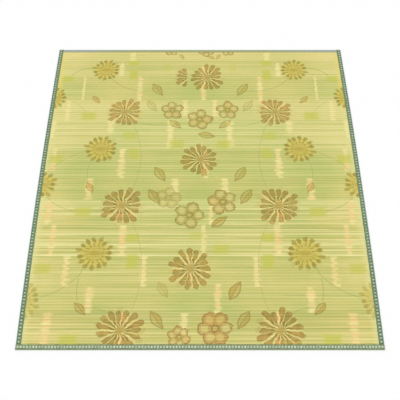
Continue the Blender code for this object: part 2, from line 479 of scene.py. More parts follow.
# %% Writing attributes at face corners
NOWHERE = 9.0
SCREEN_SHIFT = 0.0022  # metres, how far off true the screen may land on one slat
RING_SHIFT = 0.009  # how far a slat may shift the growth ring of its cane
STEM_MARGIN_X = 0.011  # just over half a cell, so that no cell on a stem's path is missed
STEM_MARGIN_Y = 0.004

rng = np.random.default_rng(11)
screen_shift = rng.uniform(-SCREEN_SHIFT, SCREEN_SHIFT, slat_count)
ring_shift = rng.uniform(-1.0, 1.0, slat_count)
ring_shift = ring_shift * 0.5 + np.where(np.arange(slat_count) % 2, 0.5, -0.5)


def face_facts(mesh):
    """Face middles, the slat number of each face, corner points, and each corner's face."""
    face_count = len(mesh.polygons)
    middles = np.empty(face_count * 3)
    mesh.polygons.foreach_get("center", middles)
    middles = middles.reshape(-1, 3)
    corner_points = np.empty(len(mesh.loops), int)
    mesh.loops.foreach_get("vertex_index", corner_points)
    points = np.empty(len(mesh.vertices) * 3)
    mesh.vertices.foreach_get("co", points)
    totals = np.empty(face_count, int)
    mesh.polygons.foreach_get("loop_total", totals)
    corner_face = np.repeat(np.arange(face_count), totals)
    slats = np.floor((middles[:, 1] - panel_low.y) / slat_pitch).astype(int)
    return middles, slats.clip(0, slat_count - 1), points.reshape(-1, 3)[corner_points], corner_face


def store(mesh, name, values):
    """Keep one vector for each face corner under a name."""
    attribute = mesh.attributes.new(name, "FLOAT_VECTOR", "CORNER")
    attribute.data.foreach_set("vector", values.astype(np.float32).ravel())


def with_twins(rows, mirrored):
    """The rows, and for each that has a twin, the same row on the other side."""
    return rows + [mirrored(row) for row in rows if row.twin]


def twin_motif(row):
    return row._replace(x=-row.x, turn=180.0 - row.turn, left=-row.right, right=-row.left)


def store_motifs(mesh, name, rows):
    """Each corner's place in the nearest motif. The third number is tone plus strength code."""
    middles, slats, corners_at, corner_face = face_facts(mesh)
    slat_y = panel_low.y + (slats + 0.5) * slat_pitch
    reach_x = 1.0 / ALONG_STEPS
    nearest = np.full(len(middles), np.inf)
    values = np.tile((NOWHERE, NOWHERE, 0.0), (len(corner_face), 1))
    for row in with_twins(rows, twin_motif):
        away_x = np.abs(middles[:, 0] - row.x)
        away_y = np.abs(slat_y - row.y)
        inside = (away_x < row.size * 1.05 + reach_x) & (away_y < row.size * 1.05 + slat_pitch / 2)
        inside &= (middles[:, 0] > row.left) & (middles[:, 0] < row.right)
        distance = np.hypot(away_x, away_y) / row.size
        taken = inside & (distance < nearest)
        nearest[taken] = distance[taken]
        mine = taken[corner_face]
        east = corners_at[mine, 0] + screen_shift[slats[corner_face[mine]]] - row.x
        north = corners_at[mine, 1] - row.y
        angle = math.radians(row.turn)
        values[mine, 0] = (east * math.cos(angle) + north * math.sin(angle)) / row.size
        values[mine, 1] = (north * math.cos(angle) - east * math.sin(angle)) / row.size
        values[mine, 2] = round(row.tone * 10) + 0.99 * row.strength
    store(mesh, name, values)


def stem_box(stem):
    """Lowest and highest corner of the box around one part of a circle."""
    turns = np.linspace(stem.from_turn, stem.to_turn, 13)
    xs = [stem.x + stem.radius * math.cos(turn) for turn in turns]
    ys = [stem.y + stem.radius * math.sin(turn) for turn in turns]
    return min(xs), min(ys), max(xs), max(ys)


def store_stems(mesh):
    """Each corner's place from the centre of the nearest stem, and its radius plus strength code."""
    middles, slats, corners_at, corner_face = face_facts(mesh)
    slat_y = panel_low.y + (slats + 0.5) * slat_pitch
    nearest = np.full(len(middles), np.inf)
    values = np.tile((NOWHERE, NOWHERE, 1.0), (len(corner_face), 1))
    for stem in STEMS:
        low_x, low_y, high_x, high_y = stem_box(stem)
        for side in (1, -1):
            across = side * middles[:, 0]
            inside = (across > low_x - STEM_MARGIN_X) & (across < high_x + STEM_MARGIN_X)
            inside &= (slat_y > low_y - STEM_MARGIN_Y) & (slat_y < high_y + STEM_MARGIN_Y)
            away = np.abs(np.hypot(across - stem.x, slat_y - stem.y) - stem.radius)
            taken = inside & (away < nearest)
            nearest[taken] = away[taken]
            mine = taken[corner_face]
            values[mine, 0] = side * corners_at[mine, 0] - stem.x
            values[mine, 1] = corners_at[mine, 1] - stem.y
            values[mine, 2] = stem.radius + 2 * round(stem.strength * 10)
    store(mesh, "print_stem", values)


def store_rings(mesh):
    """How far each corner is from the nearest growth ring, in ring widths, and its blush."""
    middles, slats, corners_at, corner_face = face_facts(mesh)
    slat_y = panel_low.y + (slats + 0.5) * slat_pitch
    nearest = np.full(len(middles), np.inf)
    values = np.tile((NOWHERE, 0.0, 0.0), (len(corner_face), 1))
    for ring in with_twins(RINGS, lambda row: row._replace(x=-row.x)):
        shift = ring_shift[slats] * RING_SHIFT * ring.zigzag
        away = np.abs(middles[:, 0] - ring.x)
        inside = (away < ring.width * 2.0 + RING_SHIFT + 0.02)
        inside &= (slat_y > ring.near_y) & (slat_y < ring.far_y)
        taken = inside & (away < nearest)
        nearest[taken] = away[taken]
        mine = taken[corner_face]
        values[mine, 0] = (corners_at[mine, 0] - ring.x - shift[corner_face[mine]]) / ring.width
        values[mine, 1] = ring_shift[slats[corner_face[mine]]]
        values[mine, 2] = ring.blush
    store(mesh, "growth_ring", values)


print("The screen lands within", SCREEN_SHIFT * 1000, "mm of true on each slat")

# %% [markdown]
# ## Unwrapping a band for baking
#
# A program that can't run nodes gets each material as a picture, laid out by a UV map. Slats are
# 110 times as long as they are wide, so an automatic unwrap would waste most of that picture.
# Here each slat is rolled flat like the label of a tin, cut into three lengths, and the lengths
# are stacked in rows. The face that shows gets nearly all of a row, and the back a sliver.

# %% Rows of a baked picture
ROW_PIECES = 3
CAP_COLUMN = 0.97  # the ends of the slats go to the right of this
SLAT_SIDES = [  # (direction of the face, in Y and Z, and the share of the row where it ends)
    ((-1.0, 0.0), 0.03), ((-0.7, 0.7), 0.07), ((0.0, 1.0), 0.84), ((0.7, 0.7), 0.88),
    ((1.0, 0.0), 0.91), ((0.7, -0.7), 0.93), ((0.0, -1.0), 0.98), ((-0.7, -0.7), 1.0)]


def unwrap_band(mesh, first_slat, band_count):
    """A UV map in rows, and a plan map that the material may read."""
    middles, slats, corners_at, corner_face = face_facts(mesh)
    normals = np.empty(len(mesh.polygons) * 3)
    mesh.polygons.foreach_get("normal", normals)
    normals = normals.reshape(-1, 3)
    directions = np.array([side[0] for side in SLAT_SIDES])
    side_of = np.argmax(normals[:, 1:] @ directions.T, axis=1)
    is_cap = np.abs(normals[:, 0]) > 0.8
    ends = np.array([side[1] for side in SLAT_SIDES])
    starts = np.concatenate(([0.0], ends[:-1]))
    half = panel_half_at_ends + SIDE_BOW * (
        1.0 - ((panel_low.y + (slats + 0.5) * slat_pitch) / mat_half_length) ** 2)
    cells = ALONG_STEPS // ROW_PIECES
    face_cell = np.floor((middles[:, 0] / half + 1) / 2 * ALONG_STEPS).astype(int)
    piece = (face_cell.clip(0, ALONG_STEPS - 1)) // cells
    row = (slats - first_slat) * ROW_PIECES + piece

    face = corner_face
    along = (corners_at[:, 0] / half[face] + 1) / 2 * ALONG_STEPS - piece[face] * cells
    u = 0.002 + (CAP_COLUMN - 0.006) * (along / cells).clip(0, 1)
    tangent = np.stack([directions[:, 1], -directions[:, 0]], axis=1)[side_of[face]]
    from_middle = corners_at[:, 1:] - middles[face][:, 1:]
    forward = (from_middle * tangent).sum(axis=1) > 0
    share = np.where(forward, ends[side_of[face]], starts[side_of[face]])
    v = (row[face] + 0.03 + 0.94 * share) / (band_count * ROW_PIECES)

    cap = is_cap[face]
    end_side = (corners_at[:, 0] > 0)[cap]
    across = (corners_at[cap, 1] - panel_low.y) / slat_pitch - slats[face][cap]
    up = (corners_at[cap, 2] - panel_low.z) / slat_thickness
    u[cap] = CAP_COLUMN + 0.002 + 0.024 * up.clip(0, 1)
    slot_height = 1.0 / (2 * band_count)
    slot_row = 2 * (slats[face][cap] - first_slat) + end_side
    v[cap] = (slot_row + 0.1 + 0.8 * across.clip(0, 1)) * slot_height
    plan = np.stack([corners_at[:, 0], corners_at[:, 1]], axis=1)
    for name, values in (("plan", plan), ("OFBake", np.stack([u, v], axis=1))):
        layer = mesh.uv_layers.new(name=name)
        layer.uv.foreach_set("vector", values.astype(np.float32).ravel())
    mesh.uv_layers["plan"].active_render = True


print("Each slat fills", ROW_PIECES, "rows of its band's picture")

# %% [markdown]
# ## The surface of the bamboo
#
# Bamboo is a grass, so its slats have straight, fine fibres and no growth grain across. The dye
# soaks in unevenly: some slats take it well, others stay straw, and it is pale and pinkish where
# a growth ring was planed off. A thin varnish gives a satin gloss. The material reads Object
# coordinates, which are metres here, so every pattern has its real size.

# %% Dyes and inks
STRAW_DYE = "#DFCE7C"
LEAF_DYE = "#B7C066"
PALE_DYE = "#EBE49C"
DEEP_DYE = "#AAAF58"
RING_CREAM = "#F1E499"
RING_BLUSH = "#F2CE88"
LINE_CREAM = "#F0E3A2"
LINE_GREEN = "#93A056"
EDGE_PALE = "#E2DC94"
EDGE_YELLOW = "#E8D468"
LIME_WASH = "#C3C448"
STEM_INK = "#858F4C"

FIBRE_MM = 0.9  # one bundle of fibres, drawn coarse enough to show
STREAK_MM = 6.0  # a strip of the slat that took the dye in its own way
BLOTCH_MM = 420.0  # a wide patch of the mat where the dye is greener


def start_material(name, roughness):
    """A new material, its tree and its shader."""
    material = bpy.data.materials.new(name)
    material.use_nodes = True
    shader = material.node_tree.nodes["Principled BSDF"]
    shader.inputs["Roughness"].default_value = roughness
    return material, material.node_tree, shader


print("Fibres", FIBRE_MM, "mm, streaks", STREAK_MM, "mm, blotches", BLOTCH_MM, "mm")

# %% [markdown]
# ## Drawing one daisy
#
# A daisy is a fan of petals. Turned into an angle and a radius, every petal is the same shape,
# so the angle is cut into equal slices and one petal is drawn in a slice: a Float Curve gives
# its half-width at each distance from the middle. A number from the slice makes each petal a
# little longer, shorter, darker or lighter, as hand-cut screens do.

# %% Slices of a fan
HAND_SHAKE = 0.16  # how far the outline strays from a true one, as a share of the radius


def fan(tree, name, petals, wobble, extra_over=None):
    """Places in a fan of petals: along and beside the petal's axis, its chance, and the rest.

    A motif whose tone code is over extra_over gets one petal more.
    """
    true_place = add(tree, "ShaderNodeAttribute", attribute_name=name).outputs["Vector"]
    hand = add(tree, "ShaderNodeTexNoise", {"Vector": true_place, "Scale": 4.5, "Detail": 1.5})
    shake = add(tree, "ShaderNodeVectorMath", [hand.outputs["Color"], (0.5, 0.5, 0.5)],
                operation="SUBTRACT")
    place = add(tree, "ShaderNodeVectorMath",
                [shake, (HAND_SHAKE, HAND_SHAKE, 0.0), true_place], operation="MULTIPLY_ADD")
    part = add(tree, "ShaderNodeSeparateXYZ", [place])
    petals = float(petals)
    if extra_over is not None:
        extra = add(tree, "ShaderNodeMath", [part.outputs["Z"], extra_over],
                    operation="GREATER_THAN")
        petals = add(tree, "ShaderNodeMath", [extra, petals], operation="ADD")
    flat = add(tree, "ShaderNodeVectorMath", [place, (1.0, 1.0, 0.0)], operation="MULTIPLY")
    radius = add(tree, "ShaderNodeVectorMath", [flat], operation="LENGTH")
    angle = add(tree, "ShaderNodeMath", [part.outputs["Y"], part.outputs["X"]],
                operation="ARCTAN2")
    share = add(tree, "ShaderNodeMath", [angle, 1 / math.tau, 1.0], operation="MULTIPLY_ADD")
    turns = add(tree, "ShaderNodeMath", [share, petals, 0.5], operation="MULTIPLY_ADD")
    number = add(tree, "ShaderNodeMath", [turns], operation="FLOOR")
    wrapped = add(tree, "ShaderNodeMath", [number, petals], operation="MODULO")
    key = add(tree, "ShaderNodeCombineXYZ", [wrapped, part.outputs["Z"], 0.0])
    chance = add(tree, "ShaderNodeTexWhiteNoise", [key], noise_dimensions="3D")
    slice_part = add(tree, "ShaderNodeMath", [turns], operation="FRACT")
    centred = add(tree, "ShaderNodeMath", [slice_part, -0.5], operation="ADD")
    swing = add(tree, "ShaderNodeMath", [chance.outputs["Value"], wobble, -wobble / 2],
                operation="MULTIPLY_ADD")
    swung = add(tree, "ShaderNodeMath", [centred, swing], operation="ADD")
    turned = add(tree, "ShaderNodeMath", [swung, petals], operation="DIVIDE")
    turned = add(tree, "ShaderNodeMath", [turned, math.tau], operation="MULTIPLY")
    sine = add(tree, "ShaderNodeMath", [turned], operation="SINE")
    cosine = add(tree, "ShaderNodeMath", [turned], operation="COSINE")
    beside = add(tree, "ShaderNodeMath", [sine, radius], operation="MULTIPLY")
    along = add(tree, "ShaderNodeMath", [cosine, radius], operation="MULTIPLY")
    strength = add(tree, "ShaderNodeMath", [part.outputs["Z"]], operation="FRACT")
    tone = add(tree, "ShaderNodeMath", [part.outputs["Z"], strength], operation="SUBTRACT")
    tone = add(tree, "ShaderNodeMath", [tone, 0.1], operation="MULTIPLY")
    return {"radius": radius, "beside": beside, "along": along, "chance": chance,
            "strength": strength, "tone": tone, "part": part, "patch": hand}


def petal_mask(tree, spot, profile, vary, soft):
    """How surely a place lies in the petal, from the half-width that the profile gives."""
    longer = add(tree, "ShaderNodeMath", [spot["chance"].outputs["Value"], vary, 1.0 - vary / 2],
                 operation="MULTIPLY_ADD")
    reach = add(tree, "ShaderNodeMath", [spot["along"], longer], operation="DIVIDE")
    curve = add(tree, "ShaderNodeFloatCurve", [1.0, reach])
    line = curve.mapping.curves[0]
    line.points[0].location = (0.0, profile[0][1])
    line.points[1].location = (1.0, profile[-1][1])
    for at, width in profile[1:-1]:
        line.points.new(at, width)
    curve.mapping.extend = "HORIZONTAL"
    curve.mapping.update()
    sideways = add(tree, "ShaderNodeMath", [spot["beside"]], operation="ABSOLUTE")
    inside = add(tree, "ShaderNodeMath", [curve, sideways], operation="SUBTRACT")
    return add(tree, "ShaderNodeMapRange", [inside, 0.004, soft * 2, 0.0, 1.0]), inside


print("A fan turns one drawn petal into a whole flower")

# %% [markdown]
# ## The order of the inks
#
# The screens print one over the other: lime washes first, then stems, leaves, blossoms and
# daisies. Most inks are clear, so they multiply what lies below, and a brown petal turns orange
# where it crosses a pale growth ring. The gold is opaque and covers. The paste between the
# petals keeps the dye off, so that bare cream bamboo shows there.

# %% Bare and dyed bamboo
def bamboo_ground(tree):
    """The dyed slats before the print: canes, streaks, blotches, fibres and growth rings."""
    place = add(tree, "ShaderNodeTexCoord").outputs["Object"]
    split = add(tree, "ShaderNodeSeparateXYZ", [place])
    from_middle = add(tree, "ShaderNodeMath", [split.outputs["X"]], operation="ABSOLUTE")
    halves = add(tree, "ShaderNodeCombineXYZ", [from_middle, split.outputs["Y"], 0.0])
    cane = add(tree, "ShaderNodeSeparateXYZ",
               [add(tree, "ShaderNodeAttribute", attribute_name="cane").outputs["Vector"]])
    slat = add(tree, "ShaderNodeSeparateXYZ",
               [add(tree, "ShaderNodeAttribute", attribute_name="slat_tone").outputs["Vector"]])

    blotch = add(tree, "ShaderNodeTexNoise", {
        "Vector": halves, "Scale": 1000 / BLOTCH_MM, "Detail": 2.0, "Roughness": 0.5})
    stretched = add(tree, "ShaderNodeVectorMath",
                    [place, (1.1, 1000 / STREAK_MM, 1.0)], operation="MULTIPLY")
    streak = add(tree, "ShaderNodeTexNoise", {
        "Vector": stretched, "Scale": 1.0, "Detail": 2.0, "Roughness": 0.6})
    combed = add(tree, "ShaderNodeVectorMath",
                 [place, (24.0, 1000 / FIBRE_MM, 1.0)], operation="MULTIPLY")
    fibre = add(tree, "ShaderNodeTexNoise", {
        "Vector": combed, "Scale": 1.0, "Detail": 3.0, "Roughness": 0.6})

    edge = add(tree, "ShaderNodeMapRange", [from_middle, 0.30, 0.85, 0.0, 0.26])
    green = add(tree, "ShaderNodeMath", [cane.outputs["X"], edge], operation="SUBTRACT")
    green = add(tree, "ShaderNodeMath",
                [add(tree, "ShaderNodeMapRange", [blotch, 0.3, 0.7, -0.35, 0.35]), green],
                operation="ADD")
    green = add(tree, "ShaderNodeMath", [slat.outputs["X"], 0.30, green],
                operation="MULTIPLY_ADD")
    color = add(tree, "ShaderNodeMix", [green, hex_color(STRAW_DYE), hex_color(LEAF_DYE)],
                data_type="RGBA")

    uneven = add(tree, "ShaderNodeMapRange", [streak, 0.32, 0.68, -0.5, 0.5])
    pull = add(tree, "ShaderNodeMath", [slat.outputs["Y"], -0.5], operation="ADD")
    pull = add(tree, "ShaderNodeMath", [pull, 0.9, uneven], operation="MULTIPLY_ADD")
    pull = add(tree, "ShaderNodeMath", [pull, cane.outputs["Z"]], operation="MULTIPLY")
    lift = add(tree, "ShaderNodeMath", [cane.outputs["Y"], -0.4], operation="ADD")
    lift = add(tree, "ShaderNodeMath", [pull, 0.9, lift], operation="MULTIPLY_ADD")
    faded = add(tree, "ShaderNodeMapRange", [from_middle, 0.68, 0.80, 0.0, 0.14])
    lift = add(tree, "ShaderNodeMath", [lift, faded], operation="ADD")
    paler = add(tree, "ShaderNodeMapRange", [lift, 0.0, 0.9, 0.0, 0.85])
    deeper = add(tree, "ShaderNodeMapRange", [lift, 0.0, -0.9, 0.0, 0.85])
    color = add(tree, "ShaderNodeMix", [paler, color, hex_color(PALE_DYE)], data_type="RGBA")
    color = add(tree, "ShaderNodeMix", [deeper, color, hex_color(DEEP_DYE)], data_type="RGBA")

    slat_step = add(tree, "ShaderNodeMath", [split.outputs["Y"], 1 / slat_pitch,
                                             -panel_low.y / slat_pitch],
                    operation="MULTIPLY_ADD")
    slat_number = add(tree, "ShaderNodeMath",
                      [add(tree, "ShaderNodeMath", [slat_step, 0.5], operation="ADD")],
                      operation="FLOOR")
    joint_away = add(tree, "ShaderNodeMath", [slat_step, slat_number], operation="SUBTRACT")
    joint_away = add(tree, "ShaderNodeMath", [joint_away], operation="ABSOLUTE")
    joint = add(tree, "ShaderNodeMapRange", [joint_away, 0.17, 0.07, 0.0, 1.0])
    joint_key = add(tree, "ShaderNodeMath", [slat_number, 3.7], operation="MULTIPLY")
    joint_run = add(tree, "ShaderNodeMath", [split.outputs["X"], 1.6], operation="MULTIPLY")
    joint_place = add(tree, "ShaderNodeCombineXYZ", [joint_run, joint_key, 0.0])
    joint_noise = add(tree, "ShaderNodeTexNoise", {
        "Vector": joint_place, "Scale": 1.0, "Detail": 1.0})
    bright = add(tree, "ShaderNodeMapRange", [joint_noise, 0.50, 0.62, 0.0, 0.8])
    bright = add(tree, "ShaderNodeMath", [bright, cane.outputs["Z"]], operation="MULTIPLY")
    bright = add(tree, "ShaderNodeMath", [bright, joint], operation="MULTIPLY")
    dull = add(tree, "ShaderNodeMapRange", [joint_noise, 0.44, 0.34, 0.0, 0.45])
    dull = add(tree, "ShaderNodeMath", [dull, joint], operation="MULTIPLY")
    color = add(tree, "ShaderNodeMix", [bright, color, hex_color(LINE_CREAM)],
                data_type="RGBA")
    color = add(tree, "ShaderNodeMix", [dull, color, hex_color(LINE_GREEN)], data_type="RGBA")

    sides = add(tree, "ShaderNodeMapRange", [from_middle, 0.84, 0.875, 0.0, 0.7])
    farther = add(tree, "ShaderNodeMapRange", [split.outputs["Y"], 0.0, 1.0, -0.15, 0.15])
    warm = add(tree, "ShaderNodeMath", [blotch, farther], operation="ADD")
    warm = add(tree, "ShaderNodeMapRange", [warm, 0.48, 0.62, 0.0, 1.0])
    side_color = add(tree, "ShaderNodeMix",
                     [warm, hex_color(EDGE_PALE), hex_color(EDGE_YELLOW)], data_type="RGBA")
    color = add(tree, "ShaderNodeMix", [sides, color, side_color], data_type="RGBA")

    ring_place = add(tree, "ShaderNodeAttribute", attribute_name="growth_ring").outputs["Vector"]
    ring = add(tree, "ShaderNodeSeparateXYZ", [ring_place])
    ring_away = add(tree, "ShaderNodeMath", [ring.outputs["X"]], operation="ABSOLUTE")
    ragged = add(tree, "ShaderNodeMath", [slat.outputs["X"], 0.7, 0.6],
                 operation="MULTIPLY_ADD")
    ring_away = add(tree, "ShaderNodeMath", [ring_away, ragged], operation="DIVIDE")
    ring_mask = add(tree, "ShaderNodeMapRange", [ring_away, 1.10, 0.30, 0.0, 1.0],
                    interpolation_type="SMOOTHSTEP")
    ring_power = add(tree, "ShaderNodeMapRange", [streak, 0.36, 0.60, 0.35, 1.0])
    ring_mask = add(tree, "ShaderNodeMath", [ring_mask, ring_power], operation="MULTIPLY")
    blush = add(tree, "ShaderNodeMath", [ring.outputs["Z"], slat.outputs["Z"]],
                operation="MULTIPLY")
    blush = add(tree, "ShaderNodeMath", [blush, 1.8], operation="MULTIPLY", use_clamp=True)
    ring_color = add(tree, "ShaderNodeMix",
                     [blush, hex_color(RING_CREAM), hex_color(RING_BLUSH)], data_type="RGBA")
    color = add(tree, "ShaderNodeMix", [ring_mask, color, ring_color], data_type="RGBA")

    grain = add(tree, "ShaderNodeMapRange", [fibre, 0.25, 0.75, 0.93, 1.07])
    color = add(tree, "ShaderNodeMix", [1.0, color, grain], data_type="RGBA",
                blend_type="MULTIPLY")
    ridge = add(tree, "ShaderNodeMapRange", [ring_away, 0.22, 0.0, 0.0, 1.0])
    return color, fibre, streak, ridge


print("The ground mixes", STRAW_DYE, "and", LEAF_DYE)

# %% Washes and stems
def print_washes(tree, below, wear):
    """Soft squarish patches of lime ink."""
    place = add(tree, "ShaderNodeAttribute", attribute_name="print_wash").outputs["Vector"]
    rough = add(tree, "ShaderNodeTexNoise", {"Vector": place, "Scale": 1.6, "Detail": 2.0})
    part = add(tree, "ShaderNodeSeparateXYZ", [place])
    along = add(tree, "ShaderNodeMath", [part.outputs["X"]], operation="ABSOLUTE")
    beside = add(tree, "ShaderNodeMath", [part.outputs["Y"]], operation="ABSOLUTE")
    beside = add(tree, "ShaderNodeMath", [beside, 1.45], operation="MULTIPLY")
    away = add(tree, "ShaderNodeMath", [along, beside, 0.35], operation="SMOOTH_MAX")
    away = add(tree, "ShaderNodeMath", [rough, 0.7, away], operation="MULTIPLY_ADD")
    mask = add(tree, "ShaderNodeMapRange", [away, 1.50, 0.95, 0.0, 0.9])
    strength = add(tree, "ShaderNodeMath", [part.outputs["Z"]], operation="FRACT")
    mask = add(tree, "ShaderNodeMath", [mask, strength], operation="MULTIPLY")
    mask = add(tree, "ShaderNodeMath", [mask, wear], operation="MULTIPLY")
    return add(tree, "ShaderNodeMix", [mask, below, hex_color(LIME_WASH)], data_type="RGBA")


def print_stems(tree, below, wear):
    """Fine green lines along parts of circles."""
    place = add(tree, "ShaderNodeAttribute", attribute_name="print_stem").outputs["Vector"]
    part = add(tree, "ShaderNodeSeparateXYZ", [place])
    flat = add(tree, "ShaderNodeVectorMath", [place, (1.0, 1.0, 0.0)], operation="MULTIPLY")
    radius = add(tree, "ShaderNodeVectorMath", [flat], operation="LENGTH")
    target = add(tree, "ShaderNodeMath", [part.outputs["Z"], 2.0], operation="MODULO")
    code = add(tree, "ShaderNodeMath", [part.outputs["Z"], target], operation="SUBTRACT")
    strength = add(tree, "ShaderNodeMath", [code, 0.05], operation="MULTIPLY")
    away = add(tree, "ShaderNodeMath", [radius, target], operation="SUBTRACT")
    away = add(tree, "ShaderNodeMath", [away], operation="ABSOLUTE")
    mask = add(tree, "ShaderNodeMapRange", [away, 0.0030, 0.0010, 0.0, 0.8])
    mask = add(tree, "ShaderNodeMath", [mask, strength], operation="MULTIPLY")
    mask = add(tree, "ShaderNodeMath", [mask, wear], operation="MULTIPLY")
    return add(tree, "ShaderNodeMix", [mask, below, hex_color(STEM_INK)], data_type="RGBA")


# %% Leaves
LEAF_PROFILE = [(0.0, 0.0), (0.14, 0.20), (0.38, 0.42), (0.68, 0.34), (0.88, 0.14), (1.0, 0.0)]
LEAF_LINE_GREEN = "#979040"
LEAF_LINE_BROWN = "#9C823A"
LEAF_FILL_GREEN = "#F6ECC4"
LEAF_FILL_BROWN = "#F3D7A4"


def print_leaves(tree, below, wear):
    """Outlined leaves with a midrib, slanting veins and one shaded half."""
    place = add(tree, "ShaderNodeAttribute", attribute_name="print_leaf").outputs["Vector"]
    part = add(tree, "ShaderNodeSeparateXYZ", [place])
    strength = add(tree, "ShaderNodeMath", [part.outputs["Z"]], operation="FRACT")
    tone = add(tree, "ShaderNodeMath", [part.outputs["Z"], strength], operation="SUBTRACT")
    tone = add(tree, "ShaderNodeMath", [tone, 0.1], operation="MULTIPLY")
    ink = add(tree, "ShaderNodeMath", [strength, wear], operation="MULTIPLY")
    share = add(tree, "ShaderNodeMath", [part.outputs["X"], 0.5, 0.5], operation="MULTIPLY_ADD")
    curve = add(tree, "ShaderNodeFloatCurve", [1.0, share])
    line = curve.mapping.curves[0]
    line.points[0].location = LEAF_PROFILE[0]
    line.points[1].location = LEAF_PROFILE[-1]
    for at, width in LEAF_PROFILE[1:-1]:
        line.points.new(at, width)
    curve.mapping.update()
    beside = add(tree, "ShaderNodeMath", [part.outputs["Y"]], operation="ABSOLUTE")
    depth = add(tree, "ShaderNodeMath", [curve, beside], operation="SUBTRACT")
    inside = add(tree, "ShaderNodeMapRange", [depth, -0.03, 0.03, 0.0, 1.0])
    rim_away = add(tree, "ShaderNodeMath", [depth], operation="ABSOLUTE")
    rim = add(tree, "ShaderNodeMapRange", [rim_away, 0.085, 0.03, 0.0, 0.85])
    slant = add(tree, "ShaderNodeMath", [beside, 0.55, share], operation="MULTIPLY_ADD")
    slant = add(tree, "ShaderNodeMath", [slant, 7.0], operation="MULTIPLY")
    slant = add(tree, "ShaderNodeMath", [slant], operation="FRACT")
    veins = add(tree, "ShaderNodeMapRange", [slant, 0.30, 0.10, 0.0, 0.4])
    midrib = add(tree, "ShaderNodeMapRange", [beside, 0.06, 0.02, 0.0, 0.8])
    lines = add(tree, "ShaderNodeMath", [veins, midrib], operation="MAXIMUM")
    lines = add(tree, "ShaderNodeMath", [lines, inside], operation="MULTIPLY")
    lines = add(tree, "ShaderNodeMath", [lines, rim], operation="MAXIMUM")
    lines = add(tree, "ShaderNodeMath", [lines, ink], operation="MULTIPLY")
    shaded = add(tree, "ShaderNodeMapRange", [part.outputs["Y"], -0.05, 0.05, 0.55, 1.0])
    body = add(tree, "ShaderNodeMath", [inside, shaded], operation="MULTIPLY")
    body = add(tree, "ShaderNodeMath", [body, ink], operation="MULTIPLY")
    fill = add(tree, "ShaderNodeMix",
               [tone, hex_color(LEAF_FILL_GREEN), hex_color(LEAF_FILL_BROWN)], data_type="RGBA")
    color = add(tree, "ShaderNodeMix", [body, below, fill], data_type="RGBA",
                blend_type="MULTIPLY")
    line_color = add(tree, "ShaderNodeMix",
                     [tone, hex_color(LEAF_LINE_GREEN), hex_color(LEAF_LINE_BROWN)],
                     data_type="RGBA")
    return add(tree, "ShaderNodeMix", [lines, color, line_color], data_type="RGBA")


# %% Blossoms
BLOSSOM_PETALS = 5
PETAL_MIDDLE = 0.60  # where a round petal's centre lies, as a share of the blossom's radius
PETAL_RADIUS = 0.37
BLOSSOM_LINE = "#988833"
BLOSSOM_BROWN_LINE = "#A2742C"
BLOSSOM_PALE = "#D6CB78"
BLOSSOM_FILL = "#CCBB62"
BLOSSOM_BLUSH = "#D6A850"
BLOSSOM_HUB = "#BFB050"


